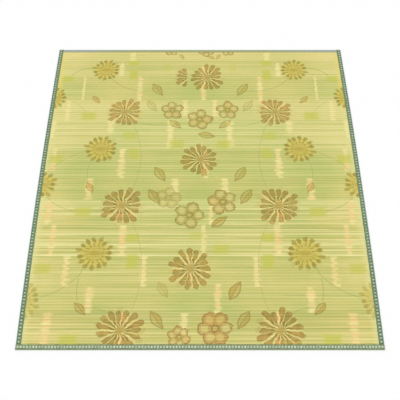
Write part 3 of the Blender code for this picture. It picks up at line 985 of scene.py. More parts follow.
def print_blossoms(tree, below, wear):
    """Round-petalled blossoms with a double outline and a ring in the middle."""
    spot = fan(tree, "print_blossom", BLOSSOM_PETALS, 0.14, 9.5)
    chance = spot["chance"].outputs["Value"]
    ink = add(tree, "ShaderNodeMath", [spot["strength"], wear], operation="MULTIPLY")
    out = add(tree, "ShaderNodeMath", [spot["along"], -PETAL_MIDDLE], operation="ADD")
    away = add(tree, "ShaderNodeVectorMath",
               [add(tree, "ShaderNodeCombineXYZ", [out, spot["beside"], 0.0])],
               operation="LENGTH")
    bigger = add(tree, "ShaderNodeMath", [chance, 0.16, 0.92], operation="MULTIPLY_ADD")
    away = add(tree, "ShaderNodeMath", [away, bigger], operation="DIVIDE")
    away = add(tree, "ShaderNodeMath", [spot["patch"], 0.22, away], operation="MULTIPLY_ADD")
    away = add(tree, "ShaderNodeMath", [away, 0.11], operation="SUBTRACT")
    inside = add(tree, "ShaderNodeMapRange", [away, PETAL_RADIUS + 0.02, PETAL_RADIUS - 0.02,
                                              0.0, 0.70])
    rim_away = add(tree, "ShaderNodeMath", [away, PETAL_RADIUS], operation="SUBTRACT")
    rim_away = add(tree, "ShaderNodeMath", [rim_away], operation="ABSOLUTE")
    rim = add(tree, "ShaderNodeMapRange", [rim_away, 0.070, 0.03, 0.0, 0.95])
    second_away = add(tree, "ShaderNodeMath", [away, PETAL_RADIUS * 0.70], operation="SUBTRACT")
    second_away = add(tree, "ShaderNodeMath", [second_away], operation="ABSOLUTE")
    second = add(tree, "ShaderNodeMapRange", [second_away, 0.05, 0.02, 0.0, 0.55])
    ring_away = add(tree, "ShaderNodeMath", [spot["radius"], 0.20], operation="SUBTRACT")
    ring_away = add(tree, "ShaderNodeMath", [ring_away], operation="ABSOLUTE")
    ring = add(tree, "ShaderNodeMapRange", [ring_away, 0.09, 0.04, 0.0, 0.95])
    outer_only = add(tree, "ShaderNodeMapRange", [spot["radius"], 0.22, 0.30, 0.0, 1.0])
    hub = add(tree, "ShaderNodeMapRange", [spot["radius"], 0.20, 0.14, 0.0, 0.8])
    hub = add(tree, "ShaderNodeMath", [hub, ink], operation="MULTIPLY")
    lines = add(tree, "ShaderNodeMath", [rim, second], operation="MAXIMUM")
    lines = add(tree, "ShaderNodeMath", [lines, outer_only], operation="MULTIPLY")
    lines = add(tree, "ShaderNodeMath", [lines, ring], operation="MAXIMUM")
    lines = add(tree, "ShaderNodeMath", [lines, ink], operation="MULTIPLY")
    body = add(tree, "ShaderNodeMath", [inside, ink], operation="MULTIPLY")
    fill = add(tree, "ShaderNodeMix",
               [spot["tone"], hex_color(BLOSSOM_FILL), hex_color(BLOSSOM_BLUSH)],
               data_type="RGBA")
    fill = add(tree, "ShaderNodeMix", [chance, hex_color(BLOSSOM_PALE), fill],
               data_type="RGBA")
    color = add(tree, "ShaderNodeMix", [body, below, fill], data_type="RGBA")
    color = add(tree, "ShaderNodeMix", [hub, color, hex_color(BLOSSOM_HUB)], data_type="RGBA")
    brown = add(tree, "ShaderNodeMapRange", [spot["tone"], 0.5, 1.0, 0.0, 1.0])
    line_color = add(tree, "ShaderNodeMix",
                     [brown, hex_color(BLOSSOM_LINE), hex_color(BLOSSOM_BROWN_LINE)],
                     data_type="RGBA")
    return add(tree, "ShaderNodeMix", [lines, color, line_color], data_type="RGBA")


# %% Olive daisies
OLIVE_PETALS = 15
OLIVE_PROFILE = [(0.0, 0.0), (0.14, 0.02), (0.40, 0.078), (0.68, 0.138), (0.84, 0.158),
                 (0.94, 0.125), (1.0, 0.0)]
INNER_PROFILE = [(0.0, 0.04), (0.20, 0.05), (0.36, 0.06), (0.48, 0.05), (0.55, 0.0), (1.0, 0.0)]
OLIVE_INK = "#CEC092"
GOLDEN_INK = "#F1D8A2"
BROWN_INK = "#FACAA4"
TIP_SHADE = "#CBC196"
BARE_CREAM = "#E9DA88"
OLIVE_HEART = "#B39D47"


def print_olive_daisies(tree, below, wear):
    """Daisies with spatula petals in clear brown ink, each inside a line of bare cream bamboo."""
    spot = fan(tree, "print_olive_daisy", OLIVE_PETALS, 0.34)
    chance = spot["chance"].outputs["Value"]
    ink = add(tree, "ShaderNodeMath", [spot["strength"], wear], operation="MULTIPLY")
    petal, depth = petal_mask(tree, spot, OLIVE_PROFILE, 0.30, 0.02)
    within = add(tree, "ShaderNodeMapRange", [spot["radius"], 0.98, 0.80, 0.0, 0.85])
    line_away = add(tree, "ShaderNodeMath", [depth, 0.012], operation="ADD")
    line_away = add(tree, "ShaderNodeMath", [line_away], operation="ABSOLUTE")
    bare = add(tree, "ShaderNodeMapRange", [line_away, 0.042, 0.014, 0.0, 1.0])
    bare = add(tree, "ShaderNodeMath", [bare, within], operation="MULTIPLY")
    bare = add(tree, "ShaderNodeMath", [bare, ink], operation="MULTIPLY")
    fill = add(tree, "ShaderNodeMix", [spot["tone"], hex_color(GOLDEN_INK), hex_color(BROWN_INK)],
               data_type="RGBA")
    mixed = add(tree, "ShaderNodeMapRange", [spot["patch"], 0.40, 0.60, 0.0, 1.0])
    mixed = add(tree, "ShaderNodeMath", [mixed, chance], operation="ADD")
    mixed = add(tree, "ShaderNodeMath", [mixed, 0.5], operation="MULTIPLY")
    fill = add(tree, "ShaderNodeMix", [mixed, hex_color(OLIVE_INK), fill], data_type="RGBA")
    body = add(tree, "ShaderNodeMath", [petal, ink], operation="MULTIPLY")
    color = add(tree, "ShaderNodeMix", [body, below, fill], data_type="RGBA",
                blend_type="MULTIPLY")
    tips = add(tree, "ShaderNodeMapRange", [spot["radius"], 0.45, 0.85, 0.1, 1.0])
    rim = add(tree, "ShaderNodeMapRange", [depth, 0.085, 0.035, 0.35, 1.0])
    tips = add(tree, "ShaderNodeMath", [tips, rim], operation="MULTIPLY")
    tips = add(tree, "ShaderNodeMath", [tips, body], operation="MULTIPLY")
    color = add(tree, "ShaderNodeMix", [tips, color, hex_color(TIP_SHADE)], data_type="RGBA",
                blend_type="MULTIPLY")
    color = add(tree, "ShaderNodeMix", [bare, color, hex_color(BARE_CREAM)], data_type="RGBA")
    inner, _ = petal_mask(tree, spot, INNER_PROFILE, 0.5, 0.02)
    inner = add(tree, "ShaderNodeMath", [inner, ink], operation="MULTIPLY")
    color = add(tree, "ShaderNodeMix", [inner, color, hex_color(TIP_SHADE)], data_type="RGBA",
                blend_type="MULTIPLY")
    heart = add(tree, "ShaderNodeMapRange", [spot["radius"], 0.22, 0.12, 0.0, 0.8])
    heart = add(tree, "ShaderNodeMath", [heart, ink], operation="MULTIPLY")
    return add(tree, "ShaderNodeMix", [heart, color, hex_color(OLIVE_HEART)], data_type="RGBA")


# %% Gold daisies
GOLD_PETALS = 15
GOLD_BODY_PROFILE = [(0.0, 0.3), (0.55, 0.22), (0.80, 0.17), (0.92, 0.11), (1.0, 0.0)]
GOLD_TIP_PROFILE = [(0.0, 0.0), (0.46, 0.0), (0.64, 0.07), (0.84, 0.145), (0.95, 0.11), (1.0, 0.0)]
GOLD_DASH_PROFILE = [(0.0, 0.0), (0.34, 0.0), (0.42, 0.04), (0.56, 0.05), (0.62, 0.0), (1.0, 0.0)]
GOLD_INK = "#C8B548"
TIP_INK = "#8B8029"
GOLD_LINE = "#E2D162"
GOLD_HEART = "#B39E35"
HEART_SQUEEZE = 0.45  # a gold daisy's heart is over twice as long along the slats as across


def print_gold_daisies(tree, below, wear):
    """Daisies with an opaque gold body, dark tips, a ring of dashes and a long heart."""
    spot = fan(tree, "print_gold_daisy", GOLD_PETALS, 0.30)
    chance = spot["chance"].outputs["Value"]
    ink = add(tree, "ShaderNodeMath", [spot["strength"], wear], operation="MULTIPLY")
    body, _ = petal_mask(tree, spot, GOLD_BODY_PROFILE, 0.24, 0.03)
    body = add(tree, "ShaderNodeMath", [body, 0.88], operation="MULTIPLY")
    body = add(tree, "ShaderNodeMath", [body, ink], operation="MULTIPLY")
    color = add(tree, "ShaderNodeMix", [body, below, hex_color(GOLD_INK)], data_type="RGBA")
    tips, depth = petal_mask(tree, spot, GOLD_TIP_PROFILE, 0.26, 0.03)
    uneven = add(tree, "ShaderNodeMapRange", [chance, 0.0, 1.0, 0.95, 0.35])
    tips = add(tree, "ShaderNodeMath", [tips, uneven], operation="MULTIPLY")
    outer = add(tree, "ShaderNodeMapRange", [spot["radius"], 0.50, 0.62, 0.0, 1.0])
    tips = add(tree, "ShaderNodeMath", [tips, outer], operation="MULTIPLY")
    dashes, _ = petal_mask(tree, spot, GOLD_DASH_PROFILE, 0.40, 0.02)
    ringed = add(tree, "ShaderNodeMapRange", [spot["radius"], 0.30, 0.38, 0.0, 0.8])
    dashes = add(tree, "ShaderNodeMath", [dashes, ringed], operation="MULTIPLY")
    inner = add(tree, "ShaderNodeMapRange", [spot["radius"], 0.66, 0.58, 0.0, 1.0])
    dashes = add(tree, "ShaderNodeMath", [dashes, inner], operation="MULTIPLY")
    dark = add(tree, "ShaderNodeMath", [tips, dashes], operation="MAXIMUM")
    dark = add(tree, "ShaderNodeMath", [dark, ink], operation="MULTIPLY")
    color = add(tree, "ShaderNodeMix", [dark, color, hex_color(TIP_INK)], data_type="RGBA")
    line_away = add(tree, "ShaderNodeMath", [depth, 0.03], operation="ADD")
    line_away = add(tree, "ShaderNodeMath", [line_away], operation="ABSOLUTE")
    line = add(tree, "ShaderNodeMapRange", [line_away, 0.05, 0.015, 0.0, 0.7])
    line = add(tree, "ShaderNodeMath", [line, outer], operation="MULTIPLY")
    line = add(tree, "ShaderNodeMath", [line, body], operation="MULTIPLY")
    color = add(tree, "ShaderNodeMix", [line, color, hex_color(GOLD_LINE)], data_type="RGBA")
    wide = add(tree, "ShaderNodeMath", [spot["part"].outputs["X"], HEART_SQUEEZE],
               operation="MULTIPLY")
    oval = add(tree, "ShaderNodeCombineXYZ", [wide, spot["part"].outputs["Y"], 0.0])
    heart_away = add(tree, "ShaderNodeVectorMath", [oval], operation="LENGTH")
    heart = add(tree, "ShaderNodeMapRange", [heart_away, 0.20, 0.10, 0.0, 0.75])
    heart = add(tree, "ShaderNodeMath", [heart, ink], operation="MULTIPLY")
    return add(tree, "ShaderNodeMix", [heart, color, hex_color(GOLD_HEART)], data_type="RGBA")


# %% Dyed, printed and varnished bamboo
BAMBOO_ROUGHNESS = 0.5


def printed_bamboo():
    """The slats' material: dyed ground, six printed layers and a satin varnish over the fibres."""
    material, tree, shader = start_material("dyed_printed_bamboo", BAMBOO_ROUGHNESS)
    color, fibre, streak, ridge = bamboo_ground(tree)
    wear = add(tree, "ShaderNodeMapRange", [fibre, 0.25, 0.60, 0.70, 1.0])
    for lay_ink in (print_washes, print_stems, print_leaves, print_blossoms,
                    print_olive_daisies, print_gold_daisies):
        color = lay_ink(tree, color, wear)
    tree.links.new(color.outputs[2], shader.inputs["Base Color"])
    gloss = add(tree, "ShaderNodeMapRange", [streak, 0.3, 0.7, 0.44, 0.58])
    tree.links.new(gloss.outputs[0], shader.inputs["Roughness"])
    height = add(tree, "ShaderNodeMath", [streak, 2.0, fibre], operation="MULTIPLY_ADD")
    height = add(tree, "ShaderNodeMath", [ridge, 3.0, height], operation="MULTIPLY_ADD")
    relief = add(tree, "ShaderNodeBump", {"Height": height, "Distance": 0.00006,
                                          "Strength": 0.8})
    tree.links.new(relief.outputs[0], shader.inputs["Normal"])
    return material


bamboo = printed_bamboo()
print("The bamboo's material has", len(bamboo.node_tree.nodes), "nodes")

# %% Lay the bands
SLAT_LEAN = math.radians(0.35)
SLAT_DROP = -0.0001  # the furthest that a slat sits down
LEANING_ROOM = 0.0001  # taken off the thickness, so that a leaning slat stays in the panel
CHAMFERED_WIDTH = slat_pitch - SLAT_GAP


def paint_cane(mesh, cane):
    """The cane's dye, the same at every corner of its band."""
    row = (cane.green, cane.light, cane.streak)
    store(mesh, "cane", np.tile(row, (len(mesh.loops), 1)))


bands = []
for number, (cane, first, last) in enumerate(zip(CANES, band_starts, band_ends), start=1):
    band = grow(f"slat_band_{number:02d}", bpy.data.meshes.new("empty"), slat_tree, {
        "Slat count": last - first, "First Y": panel_low.y + (first + 0.5) * slat_pitch,
        "Pitch": slat_pitch, "Width": CHAMFERED_WIDTH,
        "Thickness": slat_thickness - LEANING_ROOM,
        "Middle height": (panel_low.z + panel_high.z) / 2,
        "Chamfer": EDGE_CHAMFER, "Half length at ends": panel_half_at_ends, "Bow": SIDE_BOW,
        "Mat half length": mat_half_length, "Cuts along": ALONG_STEPS, "Lean": SLAT_LEAN,
        "Drop": SLAT_DROP, "Seed": number, "Finish": bamboo})
    paint_cane(band.data, cane)
    store_rings(band.data)
    store_stems(band.data)
    for attribute, rows in (("print_wash", WASHES), ("print_leaf", LEAVES),
                            ("print_blossom", BLOSSOMS), ("print_olive_daisy", OLIVE_DAISIES),
                            ("print_gold_daisy", GOLD_DAISIES)):
        store_motifs(band.data, attribute, rows)
    unwrap_band(band.data, first, last - first)
    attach(band, "root")
    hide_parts("slat_panel")
    bands.append(band)
print("Faces in all bands:", sum(len(band.data.polygons) for band in bands))

# %% [markdown]
# ## The binding tape
#
# A woven tape, 50 to 57 mm wide, is folded over each raw edge and sewn down. It's a thin sheet,
# so it is built as one: a section of the fold is worked out at each place along the edge, an
# outer skin and an inner skin a cloth's thickness apart, and the sections are joined with faces.
# The near tape laps over the side tapes, and these over the far one, as on the model below.

# %% Sizes of the tape
CLOTH = 0.0009
SIDE_LEAF = 0.0255
FAR_LEAF = 0.020
UNDER_LEAF = 0.025
FOLD_RADIUS = 0.0015
STUB = 0.0017
LAP_RAMP = 0.010
LAP_MARGIN = 0.001
MITRE_GAP = 0.0003
ALONG_TAPE = 0.009
FOLD_STEPS = 3
SEAM_IN = 0.0032  # the seam's distance from the tape's free edge
SEAM_PULL = 0.00022  # how deep the sewing pulls the tape down

near_low, near_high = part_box("binding_near")
far_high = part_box("binding_far")[1]
NEAR_LEAF = near_high.y - near_low.y
tape_top = far_high.z
lap_lift = near_high.z - far_high.z
mat_half_width = near_high.x


def mat_side(y):
    """The side edge of the mat at y."""
    return mat_half_width + SIDE_BOW * (1.0 - (y / mat_half_length) ** 2)


print(f"The tape lies {tape_top * 1000:.1f} mm high, and its laps {lap_lift * 1000:.1f} mm more")

# %% Section of the folded tape
def smooth_share(value):
    """0 before 0, 1 after 1 and a soft step between them."""
    share = min(1.0, max(0.0, value))
    return share * share * (3.0 - 2.0 * share)


def fold_section(top_leaf, under_leaf, lift, pucker):
    """Outer and inner skin of the tape: distance in from the edge, height, and place across."""
    top = tape_top + lift
    outer = []
    seam = top_leaf - SEAM_IN
    for inward in (top_leaf, top_leaf - 0.0012, seam + 0.0008, seam, seam - 0.0012,
                   seam - 0.0035, seam * 0.62, seam * 0.36, FOLD_RADIUS * 2.2):
        pull = math.exp(-((inward - seam) / 0.0013) ** 2) * SEAM_PULL
        crown = pucker * math.sin(math.pi * inward / top_leaf)
        outer.append((inward, top - pull - max(0.0, crown), inward, (0.0, 1.0)))
    for step in range(FOLD_STEPS + 1):
        angle = math.pi / 2 * (1.0 + step / FOLD_STEPS)
        way = (math.cos(angle), math.sin(angle))
        outer.append((FOLD_RADIUS * (1 + way[0]), top + FOLD_RADIUS * (way[1] - 1),
                      FOLD_RADIUS * (1 - step / FOLD_STEPS), way))
    for step in range(FOLD_STEPS + 1):
        angle = math.pi * (1.0 + 0.5 * step / FOLD_STEPS)
        way = (math.cos(angle), math.sin(angle))
        outer.append((FOLD_RADIUS * (1 + way[0]), FOLD_RADIUS * (1 + way[1]),
                      -tape_top + FOLD_RADIUS * (1 - step / FOLD_STEPS), way))
    for share in (0.5, 1.0):
        inward = FOLD_RADIUS + share * (under_leaf - FOLD_RADIUS)
        outer.append((inward, 0.0, -tape_top - inward, (0.0, -1.0)))
    inner = [(s - CLOTH * way[0], z - CLOTH * way[1], across, way)
             for s, z, across, way in reversed(outer)]
    return outer + inner


def tape_places(run, lapped_leaf):
    """Places along a tape: where, the width turned under, and how far it is lifted by a lap.

    A tape laps over neighbours whose leaf is lapped_leaf wide at each end, or passes under
    where that is None.
    """
    half = run / 2
    places = []
    for end, leaf in ((-1, lapped_leaf[0]), (1, lapped_leaf[1])):
        if leaf is None:
            start, lift = STUB + MITRE_GAP, 0.0
            marks = [start, start + 0.004, UNDER_LEAF + MITRE_GAP]
            ramp = UNDER_LEAF
        else:
            start, lift = 0.0, lap_lift
            ramp = max(leaf, UNDER_LEAF) + LAP_MARGIN
            marks = [start, STUB + MITRE_GAP, UNDER_LEAF + MITRE_GAP]
            marks += [ramp + share * LAP_RAMP for share in (0.0, 0.2, 0.4, 0.6, 0.8, 1.0)]
        for mark in marks:
            under = min(UNDER_LEAF, max(STUB, mark - MITRE_GAP))
            raised = lift * (1.0 - smooth_share((mark - ramp) / LAP_RAMP))
            places.append((end * (half - mark), under, raised))
    inner_end = UNDER_LEAF + LAP_MARGIN + LAP_RAMP + 0.006
    for along in np.linspace(-half + inner_end, half - inner_end,
                             round((run - 2 * inner_end) / ALONG_TAPE)):
        places.append((float(along), UNDER_LEAF, 0.0))
    return sorted(places)


print("A section has", len(fold_section(NEAR_LEAF, UNDER_LEAF, 0.0, 0.0)), "points")

# %% Sew a tape's sections together
TAPE_ROWS = 5
OUTER_SHARE = 0.86


def tape_mesh(name, places, leaf, to_world, seed):
    """A closed thin sheet along the places, with its cloth map and its rows for baking."""
    shake = np.random.default_rng(seed)
    phases = shake.uniform(0, math.tau, 4)
    points, rings, across_of = [], [], []
    for along, under, lift in places:
        wave = 0.0003 * (math.sin(along * 61 + phases[0]) + math.sin(along * 143 + phases[1]))
        pucker = 0.00012 + 0.00012 * math.sin(along * 170 + phases[2])
        section = fold_section(leaf, under, lift, pucker)
        ring = []
        for inward, height, across, way in section:
            slack = wave * smooth_share((inward - leaf * 0.6) / (leaf * 0.4))
            ring.append(len(points))
            points.append(to_world(along, inward + (slack if height > tape_top / 2 else 0), height))
        rings.append(ring)
        across_of.append([spot[2] for spot in section])
    size = len(rings[0])
    skin = size // 2
    lengths = [0.0]
    for i in range(1, size):
        step = math.dist(points[rings[len(rings) // 2][i]], points[rings[len(rings) // 2][i - 1]])
        lengths.append(lengths[-1] + step)
    shares = [OUTER_SHARE * length / lengths[skin - 1] for length in lengths[:skin]]
    inner_span = lengths[-1] - lengths[skin]
    shares += [OUTER_SHARE + 0.03 + (0.94 - OUTER_SHARE) * (length - lengths[skin]) / inner_span
               for length in lengths[skin:]]
    shares.append(1.0)

    faces, cloth, bake = [], [], []
    rows_at = np.linspace(0, len(rings) - 1, TAPE_ROWS + 1).round().astype(int)
    for row in range(TAPE_ROWS):
        first, last = rows_at[row], rows_at[row + 1]
        start, stop = places[first][0], places[last][0]
        for j in range(first, last):
            for i in range(size):
                k = (i + 1) % size
                faces.append((rings[j][i], rings[j + 1][i], rings[j + 1][k], rings[j][k]))
                for station, point, end in ((j, i, i), (j + 1, i, i), (j + 1, k, i + 1),
                                            (j, k, i + 1)):
                    along = places[station][0]
                    cloth.append((along, across_of[station][point]))
                    bake.append((0.002 + 0.968 * (along - start) / (stop - start),
                                 (row + 0.03 + 0.94 * shares[end]) / TAPE_ROWS))
    for ring, corner in ((rings[0], 0.02), (rings[-1][::-1], 0.52)):
        faces.append(ring)
        for i in range(size):
            turn = math.tau * i / size
            cloth.append((places[0][0], 0.0))
            bake.append((0.984 + 0.012 * math.cos(turn), corner + 0.23 + 0.22 * math.sin(turn)))
    mesh = bpy.data.meshes.new(name)
    mesh.from_pydata(points, [], faces)
    for label, values in (("cloth", cloth), ("OFBake", bake)):
        layer = mesh.uv_layers.new(name=label)
        layer.uv.foreach_set("vector", np.array(values, np.float32).ravel())
    mesh.uv_layers["cloth"].active_render = True
    mesh.shade_smooth()
    mesh.set_sharp_from_angle(angle=math.radians(50))
    thing = bpy.data.objects.new(name, mesh)
    bpy.context.scene.collection.objects.link(thing)
    return thing


def outward(thing):
    """True if the faces of a closed mesh point outwards, from the sign of its volume."""
    mesh = thing.data
    mesh.calc_loop_triangles()
    volume = 0.0
    for triangle in mesh.loop_triangles:
        a, b, c = (mesh.vertices[i].co for i in triangle.vertices)
        volume += a.dot(b.cross(c)) / 6
    return volume > 0


print("Each tape's picture has", TAPE_ROWS, "rows")

# %% [markdown]
# ## The look of the tape
#
# The tape is a jacquard: white and green threads change places to make a row of lozenges between
# two dark lines. The pattern follows the cloth and not the room, so it is drawn in the cloth's
# own map, whose two numbers are metres along the tape and across it from the mat's edge. The
# tapes on the sides are from a roll woven darker, with mint spots set a little wider. The far
# tape is paler than both, and greyer away from its middle.

# %% Woven tape
# Each weave's edge colour is painted light and shade on the fold, not a thread colour: darker on the
# near tape as a painted shadow under its edge, lighter on the side and far tapes as a painted
# highlight.
Weave = namedtuple("Weave", "pitch middle half_across half_along ground line edge light core glow"
                            " far_from_middle", defaults=(None,))
END_WEAVE = Weave(0.0152, 0.0150, 0.0050, 0.0056, "#94A582", "#67724A", "#7E8C70", "#E8F1DC",
                  "#6F8460", 0.90)
SIDE_WEAVE = Weave(0.0186, 0.0122, 0.0056, 0.0052, "#7A8E72", "#667A52", "#8B9C88", "#CDE4C8",
                   "#44684C", 0.85)
FAR_WEAVE = Weave(0.0186, 0.0100, 0.0040, 0.0040, "#A6AF84", "#939B68", "#AEB799", "#C2CCAC",
                  "#8F9A78", 0.40, "#A3AAA2")
THREAD_MM = 1.1  # one rib of the weave, drawn twice as coarse as real so that it shows


def woven_tape(name, weave, leaf):
    """A jacquard tape material, with lozenges, lines along the edges, ribs across, and painted light
    and shade at the fold.
    """
    material, tree, shader = start_material(name, 0.85)
    shader.inputs["Specular IOR Level"].default_value = 0.25
    cloth = add(tree, "ShaderNodeUVMap", uv_map="cloth")
    part = add(tree, "ShaderNodeSeparateXYZ", [cloth])
    along, across = part.outputs["X"], part.outputs["Y"]
    step = add(tree, "ShaderNodeMath", [along, 1 / weave.pitch, 1000.0],
               operation="MULTIPLY_ADD")
    phase = add(tree, "ShaderNodeMath", [step], operation="FRACT")
    number = add(tree, "ShaderNodeMath", [step], operation="FLOOR")
    odd = add(tree, "ShaderNodeMath", [number, 2.0], operation="MODULO")
    from_spot = add(tree, "ShaderNodeMath", [phase, 0.5], operation="SUBTRACT")
    from_spot = add(tree, "ShaderNodeMath", [from_spot], operation="ABSOLUTE")
    long_part = add(tree, "ShaderNodeMath", [from_spot, weave.pitch / weave.half_along],
                    operation="MULTIPLY")
    off_middle = add(tree, "ShaderNodeMath", [across, weave.middle], operation="SUBTRACT")
    off_middle = add(tree, "ShaderNodeMath", [off_middle], operation="ABSOLUTE")
    wide_part = add(tree, "ShaderNodeMath", [off_middle, 1 / weave.half_across],
                    operation="MULTIPLY")
    lozenge = add(tree, "ShaderNodeMath", [long_part, wide_part], operation="ADD")
    light = add(tree, "ShaderNodeMapRange", [lozenge, 1.15, 0.80, 0.0, weave.glow])
    worn = add(tree, "ShaderNodeTexNoise", {"Vector": cloth, "Scale": 38.0, "Detail": 1.0})
    worn = add(tree, "ShaderNodeMapRange", [worn, 0.36, 0.58, 0.45, 1.05])
    light = add(tree, "ShaderNodeMath", [light, worn], operation="MULTIPLY", use_clamp=True)
    core = add(tree, "ShaderNodeMapRange", [lozenge, 0.45, 0.25, 0.0, 0.8])
    core = add(tree, "ShaderNodeMath", [core, odd], operation="MULTIPLY")
    between = add(tree, "ShaderNodeMapRange", [from_spot, 0.30, 0.44, 0.0, 1.0])
    beside = add(tree, "ShaderNodeMapRange", [wide_part, 1.3, 0.7, 0.0, 0.8])
    between = add(tree, "ShaderNodeMath", [between, beside], operation="MULTIPLY")

    outer_line = add(tree, "ShaderNodeMath", [across, 0.0062], operation="SUBTRACT")
    outer_line = add(tree, "ShaderNodeMath", [outer_line], operation="ABSOLUTE")
    inner_line = add(tree, "ShaderNodeMath", [across, leaf - 0.0022], operation="SUBTRACT")
    inner_line = add(tree, "ShaderNodeMath", [inner_line], operation="ABSOLUTE")
    line = add(tree, "ShaderNodeMath", [outer_line, inner_line], operation="MINIMUM")
    line = add(tree, "ShaderNodeMapRange", [line, 0.0030, 0.0014, 0.0, 0.85])
    floats = add(tree, "ShaderNodeTexNoise", {"Vector": cloth, "Scale": 95.0, "Detail": 1.0})
    dashed = add(tree, "ShaderNodeMapRange", [floats, 0.38, 0.58, 0.35, 1.15])
    line = add(tree, "ShaderNodeMath", [line, dashed], operation="MULTIPLY", use_clamp=True)
    # Painted light and shade along the fold: the outer 2.5 to 4.5 mm of the top leaf, the fold and
    # the under leaf take the weave's edge colour.
    fold_light_and_shade = add(tree, "ShaderNodeMapRange", [across, 0.0045, 0.0025, 0.0, 0.9])

    rib_step = add(tree, "ShaderNodeMath", [along, math.tau * 1000 / THREAD_MM],
                   operation="MULTIPLY")
    rib = add(tree, "ShaderNodeMath", [rib_step], operation="SINE")
    pick_step = add(tree, "ShaderNodeMath", [across, math.tau * 1000 / THREAD_MM],
                    operation="MULTIPLY")
    pick = add(tree, "ShaderNodeMath", [pick_step], operation="SINE")
    weft = add(tree, "ShaderNodeMath", [rib, pick], operation="MULTIPLY")
    dirt = add(tree, "ShaderNodeTexNoise", {"Vector": cloth, "Scale": 160.0, "Detail": 2.0})

    color = add(tree, "ShaderNodeMix", [line, hex_color(weave.ground), hex_color(weave.line)],
                data_type="RGBA")
    color = add(tree, "ShaderNodeMix", [fold_light_and_shade, color, hex_color(weave.edge)], data_type="RGBA")
    color = add(tree, "ShaderNodeMix", [between, color, hex_color(weave.core)],
                data_type="RGBA")
    color = add(tree, "ShaderNodeMix", [light, color, hex_color(weave.light)], data_type="RGBA")
    color = add(tree, "ShaderNodeMix", [core, color, hex_color(weave.core)], data_type="RGBA")
    if weave.far_from_middle:
        outwards = add(tree, "ShaderNodeMath", [along], operation="ABSOLUTE")
        greyer = add(tree, "ShaderNodeMapRange", [outwards, 0.40, 0.75, 0.0, 0.85])
        color = add(tree, "ShaderNodeMix", [greyer, color, hex_color(weave.far_from_middle)],
                    data_type="RGBA")
    grain = add(tree, "ShaderNodeMapRange", [weft, -1.0, 1.0, 0.93, 1.07])
    patchy = add(tree, "ShaderNodeMapRange", [dirt, 0.3, 0.7, 0.88, 1.10])
    grain = add(tree, "ShaderNodeMath", [grain, patchy], operation="MULTIPLY")
    color = add(tree, "ShaderNodeMix", [1.0, color, grain], data_type="RGBA",
                blend_type="MULTIPLY")
    tree.links.new(color.outputs[2], shader.inputs["Base Color"])
    relief = add(tree, "ShaderNodeBump", {"Height": weft, "Distance": 0.0001, "Strength": 0.6})
    tree.links.new(relief.outputs[0], shader.inputs["Normal"])
    return material


near_weave = woven_tape("woven_green_tape", END_WEAVE, NEAR_LEAF)
side_weave = woven_tape("woven_dark_green_tape", SIDE_WEAVE, SIDE_LEAF)
far_weave = woven_tape("woven_grey_green_tape", FAR_WEAVE, FAR_LEAF)
print("Lozenges are", END_WEAVE.pitch * 1000, "mm apart on the near tape")

# %% Fold the four tapes
def near_place(along, inward, height):
    return (along, -mat_half_length + inward, height)


def far_place(along, inward, height):
    return (along, mat_half_length - inward, height)


def left_place(along, inward, height):
    return (-mat_side(along) + inward, along, height)


def right_place(along, inward, height):
    return (mat_side(along) - inward, along, height)


Tape = namedtuple("Tape", "node run lapped leaf to_world material covered")
TAPES = [
    Tape("binding_near", 2 * mat_half_width, (SIDE_LEAF, SIDE_LEAF), NEAR_LEAF, near_place,
         near_weave, bands[:1]),
    Tape("binding_far", 2 * mat_half_width, (None, None), FAR_LEAF, far_place, far_weave,
         bands[-1:]),
    Tape("binding_left", 2 * mat_half_length, (None, FAR_LEAF), SIDE_LEAF, left_place,
         side_weave, bands),
    Tape("binding_right", 2 * mat_half_length, (None, FAR_LEAF), SIDE_LEAF, right_place,
         side_weave, bands),
]
tape_pieces = {}
for seed, tape in enumerate(TAPES, start=31):
    piece = tape_mesh(tape.node.replace("binding", "tape"), tape_places(tape.run, tape.lapped),
                      tape.leaf, tape.to_world, seed)
    if not outward(piece):
        piece.data.flip_normals()
    piece.data.materials.append(tape.material)
    tape_pieces[tape.node] = piece
    print(piece.name, "has", len(piece.data.polygons), "faces")

# %% [markdown]
# ## The sewing
#
# A lockstitch in green thread holds each tape, a few millimetres in from its free edge. Stitches
# follow a path, so Geometry Nodes lay them: the seam is a line of points, made a curve, and a
# short bead of thread sits at every stitch length, turned along the seam.

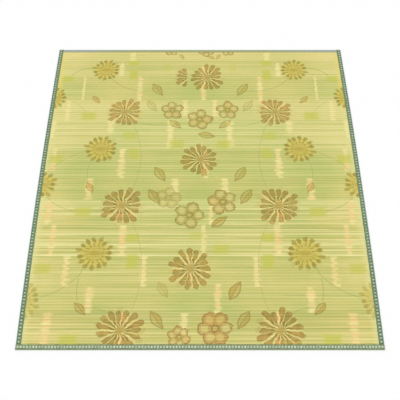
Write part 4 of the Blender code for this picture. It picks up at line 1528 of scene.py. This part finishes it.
# %% Build the stitch tree
def build_stitch_tree():
    """Beads of thread along a line of edges."""
    tree, size = new_tree("sew_stitches", [
        ("Stitch length", "Float"), ("Thread radius", "Float"), ("Bead length", "Float"),
        ("Finish", "Material")])
    seam = add(tree, "GeometryNodeMeshToCurve", [size["Geometry"]])
    places = add(tree, "GeometryNodeCurveToPoints",
                 {"Curve": seam, "Length": size["Stitch length"]}, mode="LENGTH")
    ball = add(tree, "GeometryNodeMeshUVSphere", {"Segments": 6, "Rings": 4, "Radius": 1.0})
    half_bead = add(tree, "ShaderNodeMath", [size["Bead length"], 0.5], operation="MULTIPLY")
    shape = add(tree, "ShaderNodeCombineXYZ",
                [size["Thread radius"], size["Thread radius"], half_bead])
    beads = add(tree, "GeometryNodeInstanceOnPoints", {
        "Points": places, "Instance": ball.outputs["Mesh"], "Scale": shape,
        "Rotation": places.outputs["Rotation"]})
    real = add(tree, "GeometryNodeRealizeInstances", [beads])
    smooth = add(tree, "GeometryNodeSetShadeSmooth", {"Geometry": real, "Shade Smooth": True})
    finished = add(tree, "GeometryNodeSetMaterial",
                   {"Geometry": smooth, "Material": size["Finish"]})
    add(tree, "NodeGroupOutput", [finished])
    return tree


# %% Sew the tapes down
STITCH = 0.0042
THREAD = 0.0006
THREAD_COLOR = "#A9B58C"

thread, thread_tree, thread_shader = start_material("spun_polyester_thread", 0.6)
twist = add(thread_tree, "ShaderNodeTexNoise", {
    "Vector": add(thread_tree, "ShaderNodeTexCoord").outputs["Object"], "Scale": 900.0})
thread_tone = add(thread_tree, "ShaderNodeMapRange", [twist, 0.3, 0.7, 0.85, 1.1])
thread_color = add(thread_tree, "ShaderNodeMix", [1.0, hex_color(THREAD_COLOR), thread_tone],
                   data_type="RGBA", blend_type="MULTIPLY")
thread_tree.links.new(thread_color.outputs[2], thread_shader.inputs["Base Color"])

stitch_tree = build_stitch_tree()
for tape in TAPES:
    seam_at = tape.leaf - SEAM_IN
    line_points = []
    for along, under, lift in tape_places(tape.run, tape.lapped):
        if tape.run / 2 - abs(along) > STUB + 2 * MITRE_GAP:
            line_points.append(tape.to_world(along, seam_at, tape_top + lift - SEAM_PULL))
    seam_mesh = bpy.data.meshes.new("seam")
    seam_mesh.from_pydata(line_points, [(i, i + 1) for i in range(len(line_points) - 1)], [])
    sewing = grow(tape.node.replace("binding", "stitches"), seam_mesh, stitch_tree, {
        "Stitch length": STITCH, "Thread radius": THREAD / 2, "Bead length": STITCH * 0.8,
        "Finish": thread})
    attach(sewing, "root")
    piece = tape_pieces[tape.node]
    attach(piece, "root")
    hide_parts(tape.node)
    print(sewing.name, "has", len(sewing.data.polygons), "faces")
